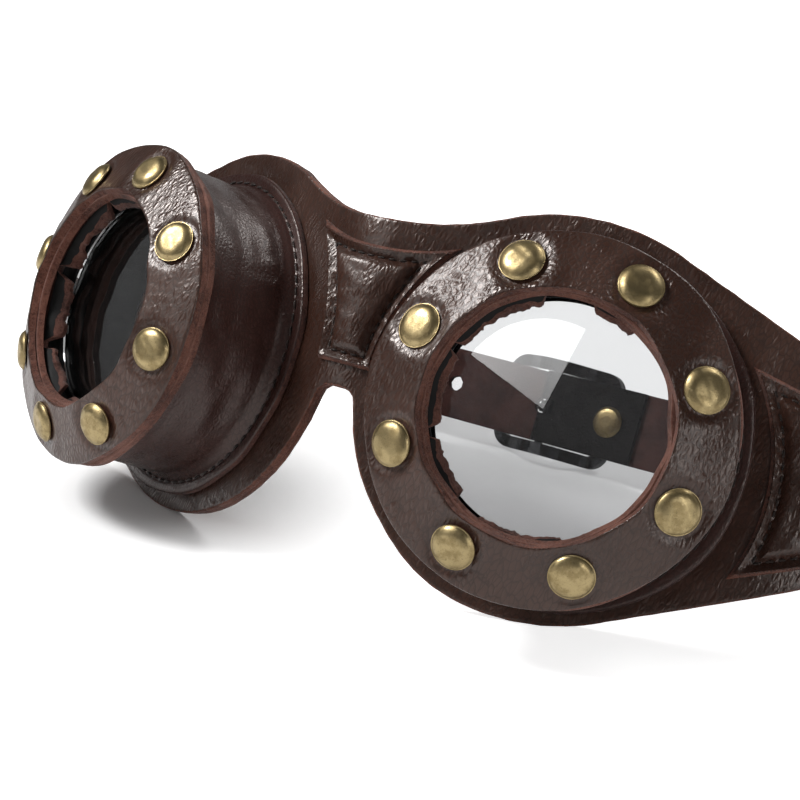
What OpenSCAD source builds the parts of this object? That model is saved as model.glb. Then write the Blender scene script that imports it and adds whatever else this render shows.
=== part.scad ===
/* [Cups] */
// Distance between the two bezel rings' edges over the nose, on the mask's face
nose_w = 24; // [22:0.5:31]
// How far each cup turns out to its own side, in degrees
cup_splay = 20; // [18:0.5:22]
// Height of the bezel's outer edge above the mask's face
cup_depth = 27.8; // [25:0.1:32]
// Outside diameter of the bezel rings
bezel_d = 75; // [73:0.5:77]
// Rise of the bezel's cone from its outer edge to its hole
bezel_rise = 5.9; // [4.5:0.1:7]
// Width of the bezel rings, from their outer edge to their hole
bezel_w = 12.1; // [11.6:0.1:12.5]
// Thickness of each of the two bezel leathers
bezel_t = 1.7; // [1.4:0.1:2]
// Glue line between layers that lie on each other
glue = 0.1; // [0.05:0.01:0.15]
// How far the bezel's edge stands out over the cup wall
wall_inset = 1.8; // [1.3:0.1:2]
// How far the cup wall draws in from its top to its waist
waist_inset = 1.2; // [0.7:0.1:1.5]
// Thickness of the cup wall's leather
wall_t = 1.5; // [1.2:0.1:1.8]
// Width of the wall's stitched flange, from the waist
flange_w = 4.4; // [3.8:0.1:5]
// Radius of the bend from the wall into its flange
flange_bend = 3.4; // [2.6:0.1:3.6]
// How far the mask reaches in under the cup wall's waist
eye_inset = 1.5; // [1.5:0.1:3.5]

/* [Ragged edge] */
// How far the wall's turned-in edge shows inside the bezel's hole
rag_show = 1.2; // [0.7:0.1:1.5]
// Depth of the edge's long waves
rag_wave = 0.75; // [0.3:0.05:0.9]
// Depth of the edge's short nicks
rag_nick = 0.4; // [0.1:0.05:0.5]

/* [Bezel rivets] */
// Diameter of a rivet cap
rivet_d = 9.4; // [8.6:0.1:9.8]
// Height of a rivet cap at its middle
rivet_h = 1.7; // [1.2:0.1:2.2]
// Diameter of a rivet post
post_d = 3; // [2.6:0.1:3.4]
// Clearance round a rivet post, on the radius
post_gap = 0.05; // [0.03:0.01:0.1]
// Diameter of the rivets' back caps
back_cap_d = 6.4; // [5.6:0.1:6.6]
// Distance of the rivets from the inside of the cup wall
rivet_inset = 3; // [2.7:0.1:3.4]
// Number of rivets on each bezel
rivet_count = 8; // [6:1:8]
// Turn of the right bezel's rivets from its level line, in degrees
rivet_turn_right = 24.9; // [15:0.1:35]
// Turn of the left bezel's rivets from its level line, in degrees
rivet_turn_left = 30.4; // [20:0.1:40]

/* [Lenses] */
// How far the lens's edge lies inside the bezel's hole
lens_inset = 2.1; // [2:0.1:2.6]
// Thickness of the lens
lens_t = 2.2; // [1.6:0.1:2.6]
// How far the holder's lip covers the lens's edge
lip_cover = 1; // [0.8:0.1:1.6]
// Depth of the window's lip below the bezel's hole rim
lip_depth = 8.2; // [8:0.1:8.8]
// Thickness of the holder's walls
holder_t = 1.2; // [1:0.1:1.3]
// Clearance round the lens and its ring, on the radius
lens_gap = 0.06; // [0.04:0.01:0.1]
// Height of the ring that keeps the lens in
lens_ring_h = 1.6; // [1.2:0.1:2]

/* [Mask] */
// Thickness of the mask's face leather
mask_t = 1.4; // [1:0.1:1.8]
// Thickness of the mask's lining
lining_t = 1.2; // [0.8:0.1:1.6]
// How far the lobe's edge stands out round the cup's flange
lobe_margin = 4.3; // [3.7:0.1:5.3]
// How far the lobe's centre lies towards the nose from the cup's centre
lobe_in = 4; // [3.4:0.1:4.4]
// Height of the lobe's centre above the cup's centre
lobe_up = 1; // [0:0.1:2]
// Height of the mask's top edge over the nose
brow_h = 33.3; // [30:0.1:36]
// Depth of the nose notch's top below the cups' centre line
notch_drop = 4.6; // [3:0.1:7]
// How much wider the hand-cut nose notch is on the right of the middle
notch_wider = 2.9; // [0:0.1:3.2]
// Radius of the mask's bend over the nose
nose_bend_r = 20; // [16:0.5:24]
// Flat run of the mask beyond each cup's centre
flat_run = 41.5; // [41:0.1:43]
// Radius of the temple wing's bend
wing_bend_r = 36; // [32:0.5:40]
// Angle that the wing's end has turned to, in degrees
wing_end_turn = 76; // [70:1:80]
// Flat run at the wing's end, where the strap is riveted
wing_end_run = 14; // [13:0.5:16]
// Length from the lobe's centre to the centre of the wing's round end
wing_reach = 74.4; // [72:0.1:76]
// Radius of the wing's round end
wing_end_r = 12; // [11.4:0.1:12.6]
// Height of the wing's end above the cups' centre line
wing_up = 4; // [3.4:0.1:4.6]

/* [Patches] */
// Thickness of a patch at its edge
patch_t = 1.5; // [1.2:0.1:2]
// Extra height of a patch's padded middle
patch_crown = 1.1; // [0.6:0.1:1.6]
// Gap between the cup's flange and the bridge patch
bridge_gap = 6.8; // [5.6:0.1:7.4]
// Height of the bridge patch's lower edge
bridge_low = 0.4; // [0:0.1:2]
// Height of the bridge patch's upper corners
bridge_high = 30.8; // [28:0.1:32]
// Sag of the bridge patch's upper edge at its middle
bridge_sag = 3.8; // [2:0.1:5]
// How far the hand-sewn bridge patch stands off the middle, to the right
bridge_shift = 1.8; // [0:0.1:2.2]
// Gap between the cup's flange and the side patch, at the patch's middle
side_gap = 4.3; // [3.6:0.1:5]
// Drop of the centre of the side patch's hollow edge below the cup's centre
side_drop = 4.5; // [3.5:0.1:5]
// Turn of the side patch's upper corner above the level line, in degrees
side_high_turn = 38.6; // [36:0.2:40]
// Turn of the side patch's lower corner below the level line, in degrees
side_low_turn = 22.7; // [20:0.1:24]
// Margin of the wing above the side patch's rear corner
side_margin_top = 5; // [4:0.1:6]
// Margin of the wing below the side patch's rear corner
side_margin_low = 4.2; // [3.6:0.1:5]
// Distance of the side patch's rear edge before the wing's end centre
side_stop = 7; // [5:0.5:12]

/* [Strap] */
// Width of the strap
strap_w = 18; // [16:0.5:19]
// Thickness of the strap's leather
strap_t = 1.8; // [1.4:0.1:2]
// Height of the strap's middle above the cups' centre line
strap_up = 6.4; // [5.8:0.1:6.8]
// Distance of the strap's outside behind the cup centres
strap_back = 74.8; // [70:0.2:80]
// Length of the strap under the wing's end
strap_lap = 16; // [14:0.5:20]
// Diameter of the strap rivets' caps
strap_rivet_d = 6.6; // [6:0.1:7]
// Spacing of the two rivets at each wing's end
strap_rivet_pitch = 8.4; // [8:0.1:9]
// Spacing of the holes in the tongue strap
hole_pitch = 25; // [22:0.5:26]
// Diameter of the holes in the tongue strap
strap_hole_d = 5; // [4.8:0.1:5.6]
// Number of holes in the tongue strap on the buckle's left
holes_left = 2; // [1:1:2]
// Distance of the tongue's tip from the buckle's bar
tongue_run = 62; // [60:0.5:70]

/* [Buckle] */
// Distance of the buckle's bar from the middle of the head strap
buckle_x = 3.2; // [2:0.1:6]
// Length of the buckle's frame
buckle_l = 33; // [32:0.5:34]
// Width of the frame's end bars and rails
buckle_rim = 3; // [2.6:0.1:3.4]
// Clearance between the strap's edge and the frame's rail
buckle_gap = 0.3; // [0.2:0.05:0.5]
// Thickness of the frame
buckle_t = 2.4; // [2.2:0.1:2.6]
// Corner radius of the frame
buckle_corner = 5; // [4:0.1:6]
// Clearance between the strap's tongue and the frame's end bar
tongue_gap = 0.2; // [0.15:0.05:0.4]
// Diameter of the buckle's bar
bar_d = 2.2; // [2:0.1:2.2]
// Running clearance round the bar, on the radius
bar_gap = 0.08; // [0.05:0.01:0.1]
// Diameter of the prong's wire
prong_d = 1.6; // [1.4:0.1:1.8]
// Width of the prong's eye
prong_eye_w = 3; // [2.6:0.1:3.2]
// Distance of the hole that the prong comes through from the bar
prong_reach = 2.8; // [2.6:0.1:3]
// Thickness of the black tab that holds the buckle
tab_t = 1.2; // [1:0.1:1.3]
// Length of the tab from the bar
tab_l = 26.5; // [26:0.5:28]
// Distance of the tab's rivet from the bar
tab_rivet_run = 18.4; // [18.2:0.1:19.4]
// Diameter of the tab rivet's caps
tab_rivet_d = 7.8; // [7.4:0.1:8.2]
// Width of the loose keeper loop along the strap
keeper_w = 10; // [8:0.5:12]
// Wall of the keeper loop
keeper_t = 1.4; // [1.2:0.1:1.8]
// Distance of the keeper loop before the tongue's tip
keeper_back = 17; // [14:0.5:18]

/* [Hidden] */
$fn = 96;

brown = [0.20, 0.12, 0.10];
raw_brown = [0.42, 0.24, 0.19];
strap_brown = [0.24, 0.12, 0.10];
brass = [0.62, 0.52, 0.30];
black = [0.06, 0.06, 0.07];
gunmetal = [0.18, 0.18, 0.19];
smoke = [0.45, 0.46, 0.48, 0.4];
sides = [1, -1];

// Diameters of the cup's layers, each from the one that it goes with
hole_d = bezel_d - 2 * bezel_w;
wall_top_d = bezel_d - 2 * wall_inset;
waist_d = wall_top_d - 2 * waist_inset;
flange_d = waist_d + 2 * flange_w;
eye_d = waist_d - 2 * eye_inset;
rag_d = hole_d - 2 * rag_show;
lens_d = hole_d - 2 * lens_inset;
window_d = lens_d - 2 * lip_cover;
lobe_r = flange_d / 2 + lobe_margin;
keeper_run = tongue_run - keeper_back;

// Plan of the mask and strap, as a line of arcs and straights that starts over the nose
cup_x = (nose_w + bezel_d) / 2;
nose_run = nose_bend_r * cup_splay * PI / 180;
cheek_run = (cup_x - nose_bend_r * sin(cup_splay)) / cos(cup_splay);
cup_s = nose_run + cheek_run;
nose_y = -nose_bend_r * (1 - cos(cup_splay)) - cheek_run * sin(cup_splay);
flat_s = cup_s + flat_run;
wing_run = wing_bend_r * (wing_end_turn - cup_splay) * PI / 180;
wing_s = flat_s + wing_run;
lap_s = wing_s + wing_end_run;
flat_p = [cup_x + flat_run * cos(cup_splay), flat_run * sin(cup_splay)];
wing_p = flat_p + wing_bend_r * [
    sin(wing_end_turn) - sin(cup_splay), cos(cup_splay) - cos(wing_end_turn)
];
lap_p = wing_p + wing_end_run * [cos(wing_end_turn), sin(wing_end_turn)];
backing = mask_t + lining_t + glue;
back_y = strap_back + backing;
heel_r = (back_y - lap_p[1]) / (1 + cos(wing_end_turn));
heel_s = lap_s + heel_r * (180 - wing_end_turn) * PI / 180;
heel_p = [lap_p[0] - heel_r * sin(wing_end_turn), back_y];
half_s = heel_s + heel_p[0];

// Turn of the line at a run along it, in degrees
function turn_at(s) =
    s < nose_run ? s / nose_bend_r * 180 / PI
    : s < flat_s ? cup_splay
    : s < wing_s ? cup_splay + (s - flat_s) / wing_bend_r * 180 / PI
    : s < lap_s ? wing_end_turn
    : s < heel_s ? wing_end_turn + (s - lap_s) / heel_r * 180 / PI
    : 180;
function arc_step(r, a, b) = r * [sin(b) - sin(a), cos(a) - cos(b)];
function way(s, a) = s * [cos(a), sin(a)];
// Place of the line at a run along it
function place_at(s) =
    s < nose_run ? [0, nose_y] + arc_step(nose_bend_r, 0, turn_at(s))
    : s < flat_s ? [cup_x, 0] + way(s - cup_s, cup_splay)
    : s < wing_s ? flat_p + arc_step(wing_bend_r, cup_splay, turn_at(s))
    : s < lap_s ? wing_p + way(s - wing_s, wing_end_turn)
    : s < heel_s ? lap_p + arc_step(heel_r, wing_end_turn, turn_at(s))
    : heel_p + way(s - heel_s, 180);
// A point at a signed run, a height and a distance out from the line
function on_mask(s, z, out) =
    let (k = s < 0 ? -1 : 1, a = turn_at(abs(s)), p = place_at(abs(s)))
    [k * (p[0] + out * sin(a)), p[1] - out * cos(a), z];

// Bezel cone: height of its face over the mask, and how layers stack below it
bezel_r = bezel_d / 2;
hole_r = hole_d / 2;
slope = atan2(bezel_rise, bezel_r - hole_r);
function face_h(r) = cup_depth + (bezel_r - r) * tan(slope);
function below_face(r, depth) = [r, face_h(r) - depth / cos(slope)];
function square_edge(depth) = [bezel_r - depth * sin(slope), cup_depth - depth * cos(slope)];
front_low = bezel_t;
back_top = front_low + glue;
back_low = back_top + bezel_t;
turn_top = back_low + glue;
turn_low = turn_top + wall_t;
holder_top = turn_low + glue;
holder_low = holder_top + holder_t;
wall_top_r = wall_top_d / 2;
waist_r = waist_d / 2;
flange_r = flange_d / 2;
lens_r = lens_d / 2;
window_r = window_d / 2;
lip_h = face_h(hole_r) - lip_depth;
lip_t = 0.8;
sleeve_r = lens_r + lens_gap + holder_t + 0.4;
rivet_r = wall_top_r - wall_t - rivet_inset;

// How the mask leans back until its lobes and its buckle stand on the table
contact_cut = 0.3;
tab_flat = strap_t / 2 + glue / 2 + tab_t;
tab_cap_h = 0.5;
tongue_top = tab_flat + tab_cap_h + strap_t / 2 + 0.15;
buckle_crank = tongue_top + strap_t / 2 + tongue_gap + buckle_t / 2;
strap_mid_y = strap_back - strap_t / 2;
frame_h = strap_w + 2 * buckle_gap + 2 * buckle_rim;
lobe_low = lobe_up - lobe_r;
lobe_x = cup_x - lobe_in;
lobe_y = (mask_t + lining_t) * cos(cup_splay) - lobe_in * tan(cup_splay);
rest_y = strap_mid_y + buckle_crank + buckle_t / 2;
rest_z = strap_up - frame_h / 2;
stance = [rest_y - lobe_y, rest_z - lobe_low];
lean = atan2(stance[1], stance[0]) - asin(contact_cut / norm(stance));
lift = rest_y * sin(lean) - rest_z * cos(lean);

// How far the rivet caps reach forward and the buckle reaches back
cap_r = rivet_d / 2 - 1.5;
cap_h = face_h(rivet_r) + rivet_h * cos(slope) - cap_r * sin(slope);
cap_reach = rivet_r + rivet_h * sin(slope) + cap_r * cos(slope);
front_swing = norm([cos(lean) * sin(cup_splay), sin(lean)]);
front_reach = cos(lean) * cos(cup_splay) * cap_h + front_swing * cap_reach;
rear_reach = cos(lean) * rest_y + sin(lean) * (strap_up + frame_h / 2);
centre_y = (rear_reach - front_reach) / 2;

module stood() {
    translate([0, -centre_y, lift]) rotate([-lean, 0, 0]) children();
}
module table_trim() {
    difference() {
        children();
        translate([-half_s, -half_s, -bezel_d]) cube([2 * half_s, 2 * half_s, bezel_d]);
    }
}

module cup(side) {
    stood() translate([side * cup_x, 0, 0]) rotate([0, 0, side * cup_splay]) rotate([90, 0, 0])
        children();
}
module at_rivets(side) {
    turn = side > 0 ? rivet_turn_right : rivet_turn_left;
    for (i = [0 : rivet_count - 1])
        rotate([0, 0, turn + i * 360 / rivet_count]) translate([rivet_r, 0, face_h(rivet_r)])
            rotate([0, slope, 0]) children();
}
module rivet_holes(side) {
    at_rivets(side) translate([0, 0, -10]) cylinder(r = post_d / 2 + post_gap, h = 12);
}
// A cap with a rolled rim and a flat top, on a post of the given grip
module rivet(d, h, grip, back_d, seat, back_h = 0.8) {
    r = d / 2;
    rotate_extrude() polygon([
        [0, glue / 2], [r - 0.25, glue / 2], [r, glue / 2 + 0.3], [r - 0.15, h * 0.45],
        [r - 0.7, h * 0.78], [r - 1.5, h * 0.94], [r - 2.4, h], [0, h]
    ]);
    translate([0, 0, -grip - seat - 0.2]) cylinder(d = post_d, h = grip + seat + 0.5);
    translate([0, 0, -grip - seat - back_h]) cylinder(d = back_d, h = back_h);
}

function wall_r(w) =
    waist_r + (wall_top_r - waist_r) * pow(max(0, w - 8) / (cup_depth - 8), 2);
wall_steps = [for (i = [0 : 6]) 24 - i * 2.5];
wall_top = below_face(wall_top_r, turn_top);
bend_c = [waist_r + flange_bend, glue + wall_t + flange_bend];
module wall_profile() {
    polygon(concat(
        [below_face(rag_d / 2 - 2, turn_top), wall_top],
        [for (w = wall_steps) if (w < wall_top[1] - 0.5) [wall_r(w), w]],
        [for (a = [180 : 15 : 270]) bend_c + flange_bend * [cos(a), sin(a)]],
        [[flange_r, glue + wall_t], [flange_r, glue], [waist_r - wall_t, glue]],
        [for (i = [len(wall_steps) - 1 : -1 : 0]) let (w = wall_steps[i])
            if (w < wall_top[1] - 3) [wall_r(w) - wall_t, w]],
        [below_face(wall_top_r - wall_t, turn_low), below_face(rag_d / 2 - 2, turn_low)]
    ));
}
function rag_r(a, side) =
    rag_d / 2 + rag_wave * sin(5 * a + side * 40) + rag_wave * 0.6 * sin(3 * a - side * 75)
    + rag_nick * sin(17 * a + side * 20) * sin(4 * a);

module cup_wall(side) {
    color(brown) cup(side) difference() {
        rotate_extrude() wall_profile();
        translate([0, 0, 20]) linear_extrude(20)
            polygon([for (a = [0 : 4 : 356]) rag_r(a, side) * [cos(a), sin(a)]]);
        rivet_holes(side);
    }
}
module bezel_back(side) {
    color(raw_brown) cup(side) difference() {
        rotate_extrude() polygon([
            square_edge(back_top), below_face(hole_r, back_top),
            below_face(hole_r, back_low), square_edge(back_low)
        ]);
        rivet_holes(side);
    }
}
module bezel_front(side) {
    color(brown) cup(side) difference() {
        rotate_extrude() polygon([
            square_edge(0), below_face(hole_r, 0),
            below_face(hole_r, front_low), square_edge(front_low)
        ]);
        rivet_holes(side);
    }
}
module bezel_rivets(side) {
    color(brass) cup(side) at_rivets(side)
        rivet(rivet_d, rivet_h, holder_low, back_cap_d, 0.25);
}
module lens_holder(side) {
    inner = lens_r + lens_gap;
    rim = below_face(sleeve_r - 0.3, holder_top);
    color(black) cup(side) difference() {
        rotate_extrude() polygon([
            rim, below_face(wall_top_r - wall_t - 0.6, holder_top),
            below_face(wall_top_r - wall_t - 0.6, holder_low),
            below_face(sleeve_r, holder_low),
            [sleeve_r, lip_h - lip_t - lens_t - lens_ring_h],
            [inner, lip_h - lip_t - lens_t - lens_ring_h],
            [inner, lip_h - lip_t], [window_r, lip_h - lip_t], [window_r, lip_h]
        ]);
        rivet_holes(side);
    }
}
module lens(side) {
    color(smoke) cup(side) translate([0, 0, lip_h - lip_t - glue - lens_t + 0.05])
        cylinder(r = lens_r, h = lens_t - 0.05);
}
module lens_ring(side) {
    color(black) cup(side)
        translate([0, 0, lip_h - lip_t - glue - lens_t - lens_ring_h + 0.1]) difference() {
            cylinder(r = lens_r + lens_gap - 0.02, h = lens_ring_h - 0.1);
            translate([0, 0, -1]) cylinder(r = window_r - 0.6, h = lens_ring_h + 2);
        }
}

// A closed sheet over a grid of [run, height, inner offset, outer offset]
module sheet(grid) {
    n = len(grid);
    m = len(grid[0]);
    outer = [for (row = grid) for (g = row) on_mask(g[0], g[1], g[3])];
    inner = [for (row = grid) for (g = row) on_mask(g[0], g[1], g[2])];
    k = n * m;
    faces = concat(
        [for (i = [0 : n - 2]) for (j = [0 : m - 2])
            [i * m + j, i * m + j + 1, (i + 1) * m + j + 1, (i + 1) * m + j]],
        [for (i = [0 : n - 2]) for (j = [0 : m - 2])
            [k + i * m + j, k + (i + 1) * m + j, k + (i + 1) * m + j + 1, k + i * m + j + 1]],
        [for (i = [0 : n - 2]) [i * m, (i + 1) * m, k + (i + 1) * m, k + i * m]],
        [for (i = [0 : n - 2]) let (a = i * m + m - 1, b = a + m) [a, k + a, k + b, b]],
        [for (j = [0 : m - 2]) [j, k + j, k + j + 1, j + 1]],
        [for (j = [0 : m - 2]) let (a = (n - 1) * m + j) [a, a + 1, k + a + 1, k + a]]
    );
    polyhedron(concat(outer, inner), faces, convexity = 10);
}

// Flat pattern of the mask, over the run times the cosine of the splay
brow_rise = brow_h - lobe_up;
brow_r = (lobe_x * lobe_x + brow_rise * brow_rise - lobe_r * lobe_r) / (2 * (lobe_r - brow_rise));
brow_end = lobe_x * brow_r / (brow_r + lobe_r);
notch_rise = -notch_drop - lobe_up;
notch_r = (lobe_x * lobe_x + notch_rise * notch_rise - lobe_r * lobe_r)
    / (2 * (lobe_r + notch_rise));
notch_end = lobe_x * notch_r / (notch_r + lobe_r);
wing_c = [lobe_x + wing_reach, wing_up];
wing_tilt = atan2(wing_c[1] - lobe_up, wing_reach);
wing_taper = asin((lobe_r - wing_end_r) / norm([wing_reach, wing_c[1] - lobe_up]));
top_turn = 90 - wing_taper + wing_tilt;
low_turn = 90 - wing_taper - wing_tilt;
wing_tip = wing_c[0] + wing_end_r;
function circle_rise(c, r, x) = sqrt(max(0, r * r - (x - c) * (x - c)));
function wing_edge(x, turn) =
    lobe_r / sin(turn) - (x - lobe_x) / tan(turn);
function mask_top(x) =
    x < brow_end ? brow_h + brow_r - circle_rise(0, brow_r, x)
    : x < lobe_x + lobe_r * cos(top_turn) ? lobe_up + circle_rise(lobe_x, lobe_r, x)
    : x < wing_c[0] + wing_end_r * cos(top_turn) ? lobe_up + wing_edge(x, top_turn)
    : wing_c[1] + circle_rise(wing_c[0], wing_end_r, x);
function mask_low(x) =
    x < notch_end ? -notch_drop - notch_r + circle_rise(0, notch_r, x)
    : x < lobe_x + lobe_r * cos(low_turn) ? lobe_up - circle_rise(lobe_x, lobe_r, x)
    : x < wing_c[0] + wing_end_r * cos(low_turn) ? lobe_up - wing_edge(x, low_turn)
    : wing_c[1] - circle_rise(wing_c[0], wing_end_r, x);
mask_half = concat(
    [for (i = [0 : 3]) notch_end * i / 4],
    [for (a = [170 : -6 : 62]) let (x = lobe_x + lobe_r * cos(a)) if (x > notch_end + 0.3) x],
    [for (i = [1 : 14]) lobe_x + lobe_r * cos(62) + i / 14 * (wing_reach - lobe_r * cos(62))],
    [for (a = [75 : -15 : 15]) wing_c[0] + wing_end_r * cos(a)],
    [wing_tip - 0.05]
);
mask_runs = concat([for (i = [len(mask_half) - 1 : -1 : 1]) -mask_half[i]], mask_half);

// The notch's extra width dies out over the right lobe
function notch_pull(x) =
    let (t = min(1, max(0, (x - 12) / 24))) x > 0 ? notch_wider * (1 - t * t * (3 - 2 * t)) : 0;
module mask_sheet(inner, outer) {
    sheet([for (x = mask_runs) let (s = x / cos(cup_splay), d = notch_pull(x) / cos(cup_splay))
        [[s + d, mask_low(abs(x)), inner, outer], [s, mask_top(abs(x)), inner, outer]]]);
}
module eye_openings() {
    for (k = sides) translate([k * cup_x, 0, 0]) rotate([0, 0, k * cup_splay])
        rotate([90, 0, 0]) cylinder(d = eye_d, h = 20, center = true);
}
module wing_rivet_holes() {
    for (k = sides) at_wing_rivets(k)
        translate([0, 0, -10]) cylinder(r = post_d / 2 + post_gap, h = 20);
}
module at_wing_rivets(side) {
    run = (wing_s + lap_s) / 2;
    p = on_mask(side * run, 0, 0);
    for (j = sides) translate([p[0], p[1], strap_up + j * strap_rivet_pitch / 2])
        rotate([0, 0, side * wing_end_turn]) rotate([90, 0, 0]) children();
}
module mask_leather() {
    color(brown) table_trim() stood() difference() {
        mask_sheet(-mask_t, 0);
        eye_openings();
        wing_rivet_holes();
    }
}
module mask_lining() {
    color(raw_brown) table_trim() stood() difference() {
        mask_sheet(-mask_t - lining_t, -mask_t - 0.02);
        eye_openings();
        wing_rivet_holes();
    }
}

// Padded patches, ruled between their two end edges, with a crown that dies out at the rim
function crown(p, q) = patch_crown * pow(sin(180 * p) * sin(180 * q), 0.35);
module patch(points, across, up) {
    sheet([for (i = [0 : across]) [for (j = [0 : up])
        let (p = i / across, q = j / up, g = points(p, q))
        [g[0], g[1], glue / 2, patch_t + crown(p, q)]]]);
}
bridge_r = flange_r + bridge_gap;
function bridge_side(z) = cup_s - sqrt(bridge_r * bridge_r - z * z);
function bridge_point(p, q) =
    let (z = bridge_low + (bridge_high - bridge_low) * q, w = bridge_side(z))
    [bridge_shift + w * (2 * p - 1), z - bridge_sag * q * 4 * p * (1 - p)];
module bridge_patch() {
    color(brown) stood() patch(function(p, q) bridge_point(p, q), 16, 8);
}
side_r = flange_r + side_gap;
side_rear_x = wing_c[0] - side_stop;
function side_point(p, q) =
    let (
        a = (side_high_turn + side_low_turn) * q - side_low_turn,
        near = [cup_s + side_r * cos(a), side_r * sin(a) - side_drop],
        low = mask_low(side_rear_x) + side_margin_low,
        high = mask_top(side_rear_x) - side_margin_top,
        rear = [side_rear_x / cos(cup_splay), low + (high - low) * q]
    ) near + (rear - near) * p;
module side_patch(side) {
    color(brown) stood() mirror([side < 0 ? 1 : 0, 0, 0])
        patch(function(p, q) side_point(p, q), 14, 8);
}

// Straps lie under the wing ends and meet at the buckle behind the head
strap_out = -backing;
lap_start = wing_tip / cos(cup_splay) - strap_lap;
bar_x = buckle_x;
end_bar = buckle_l / 2 - buckle_rim / 2;
tab_out = bar_d / 2 + bar_gap + tab_t;
keeper_in = strap_t + glue;
tab_end = bar_x + tab_l;
tongue_knots = [
    [bar_x - end_bar - 15, 0], [bar_x - 1, tongue_top], [bar_x + tab_rivet_run + 4, tongue_top],
    [tab_end + 7, keeper_in], [bar_x + tongue_run + 1, keeper_in]
];
function blend(t) = (1 - cos(180 * t)) / 2;
function tongue_rise(x, i = 0) =
    x <= tongue_knots[0][0] ? 0
    : x > tongue_knots[i + 1][0] && i < len(tongue_knots) - 2 ? tongue_rise(x, i + 1)
    : let (a = tongue_knots[i], b = tongue_knots[i + 1])
        a[1] + (b[1] - a[1]) * blend(min(1, (x - a[0]) / (b[0] - a[0])));
function strap_rows(s, out, half) = [
    [s, strap_up - half, out - strap_t, out], [s, strap_up + half, out - strap_t, out]
];
strap_runs = concat(
    [for (i = [0 : 4]) lap_start + i * (lap_s - lap_start) / 5],
    [for (i = [0 : 14]) lap_s + i * (heel_s - lap_s) / 14]
);
module strap_buckle_side() {
    stop = half_s - (bar_x + bar_d / 2 + 4);
    color(strap_brown) stood() difference() {
        sheet([for (s = concat(strap_runs, [(heel_s + stop) / 2, stop]))
            strap_rows(s, strap_out, strap_w / 2)]);
        wing_rivet_holes();
        tab_rivet_hole();
    }
}
tongue_xs = [for (x = [bar_x - end_bar - 15 : 2 : bar_x + tongue_run - 8.5]) x];
tip_x = bar_x + tongue_run;
module strap_tongue_side() {
    color(strap_brown) stood() difference() {
        sheet(concat(
            [for (s = strap_runs) strap_rows(-s, strap_out, strap_w / 2)],
            [for (x = tongue_xs) strap_rows(-half_s - x, strap_out + tongue_rise(x), strap_w / 2)],
            [for (a = [30 : 15 : 75]) let (x = tip_x - 8 + 8 * sin(a))
                strap_rows(-half_s - x, strap_out + tongue_rise(x),
                    strap_w / 2 * pow(cos(a), 0.8) + 0.8)],
            [strap_rows(-half_s - tip_x, strap_out + tongue_rise(tip_x), 0.8)]
        ));
        wing_rivet_holes();
        tongue_holes();
    }
}
module tongue_holes() {
    for (i = [-holes_left : 2]) at_strap(prong_hole_x + i * hole_pitch)
        cylinder(d = strap_hole_d, h = 30, center = true);
}
// A frame on the strap behind the head, with its Z axis pointing out
module at_strap(x) {
    translate([x, strap_mid_y, strap_up]) rotate([-90, 0, 0]) children();
}
module tab_rivet_hole() {
    at_strap(bar_x + tab_rivet_run) cylinder(r = post_d / 2 + post_gap, h = 10, center = true);
}
module strap_rivets(side) {
    grip = backing + strap_t;
    color(brass) stood() at_wing_rivets(side)
        rivet(strap_rivet_d, 1.2, grip, strap_rivet_d - 0.6, 0.05);
}
module tab_rivet() {
    grip = 2 * tab_flat;
    color(brass) stood() at_strap(bar_x + tab_rivet_run)
        rotate([180, 0, 0]) translate([0, 0, tab_flat])
            rivet(tab_rivet_d, 1.3, grip, tab_rivet_d - 2.4, 0.05, tab_cap_h);
}

// Buckle: a cranked frame with a middle bar, carried by a riveted tab
crank_start = 1.5;
crank_run = end_bar - buckle_rim / 2 - 0.5 - crank_start;
function crank_at(x) = buckle_crank * blend(min(1, max(0, (abs(x) - crank_start) / crank_run)));
function crank_half(x) =
    let (m = (crank_at(x + 0.1) - crank_at(x - 0.1)) / 0.2) buckle_t / 2 * sqrt(1 + m * m);
crank_xs = [for (x = [-buckle_l / 2 : buckle_l / 22 : buckle_l / 2 + 0.01]) x];
module crank_side() {
    polygon(concat(
        [for (x = crank_xs) [x * 1.01, crank_at(x) + crank_half(x)]],
        [for (i = [len(crank_xs) - 1 : -1 : 0]) let (x = crank_xs[i])
            [x * 1.01, crank_at(x) - crank_half(x)]]
    ));
}
module round_slab(l, h, r, t) {
    translate([0, 0, t / 2]) cube([l - 2 * r, h, t], center = true);
    translate([0, 0, t / 2]) cube([l, h - 2 * r, t], center = true);
    for (x = sides) for (y = sides)
        translate([x * (l / 2 - r), y * (h / 2 - r), 0]) cylinder(r = r, h = t);
}
module buckle_frame() {
    color(gunmetal) stood() at_strap(bar_x) {
        intersection() {
            translate([0, 0, -3]) difference() {
                round_slab(buckle_l, frame_h, buckle_corner, 14);
                translate([0, 0, -1]) round_slab(buckle_l - 2 * buckle_rim,
                    frame_h - 2 * buckle_rim, buckle_corner - buckle_rim, 16);
            }
            rotate([90, 0, 0]) linear_extrude(frame_h + 4, center = true) crank_side();
        }
        rotate([90, 0, 0])
            cylinder(d = bar_d, h = frame_h - buckle_rim, center = true);
    }
}
eye_out = bar_d / 2 + bar_gap + 0.9;
prong_out = buckle_crank + buckle_t / 2 + prong_d / 2 + 0.1;
prong_foot = [-0.56 * prong_d, eye_out - 0.6 * prong_d];
prong_knee = [-0.36 * end_bar, prong_out - 0.7 * prong_d];
prong_tip = [-1.04 * end_bar, prong_out + 0.22 * prong_d];
prong_hole_x = bar_x - prong_reach;
module prong_run(a, b) {
    d = b - a;
    translate([a[0], 0, a[1]]) rotate([0, atan2(d[0], d[1]), 0]) {
        cylinder(d = prong_d, h = norm(d));
        translate([0, 0, norm(d)]) children();
    }
}
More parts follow.
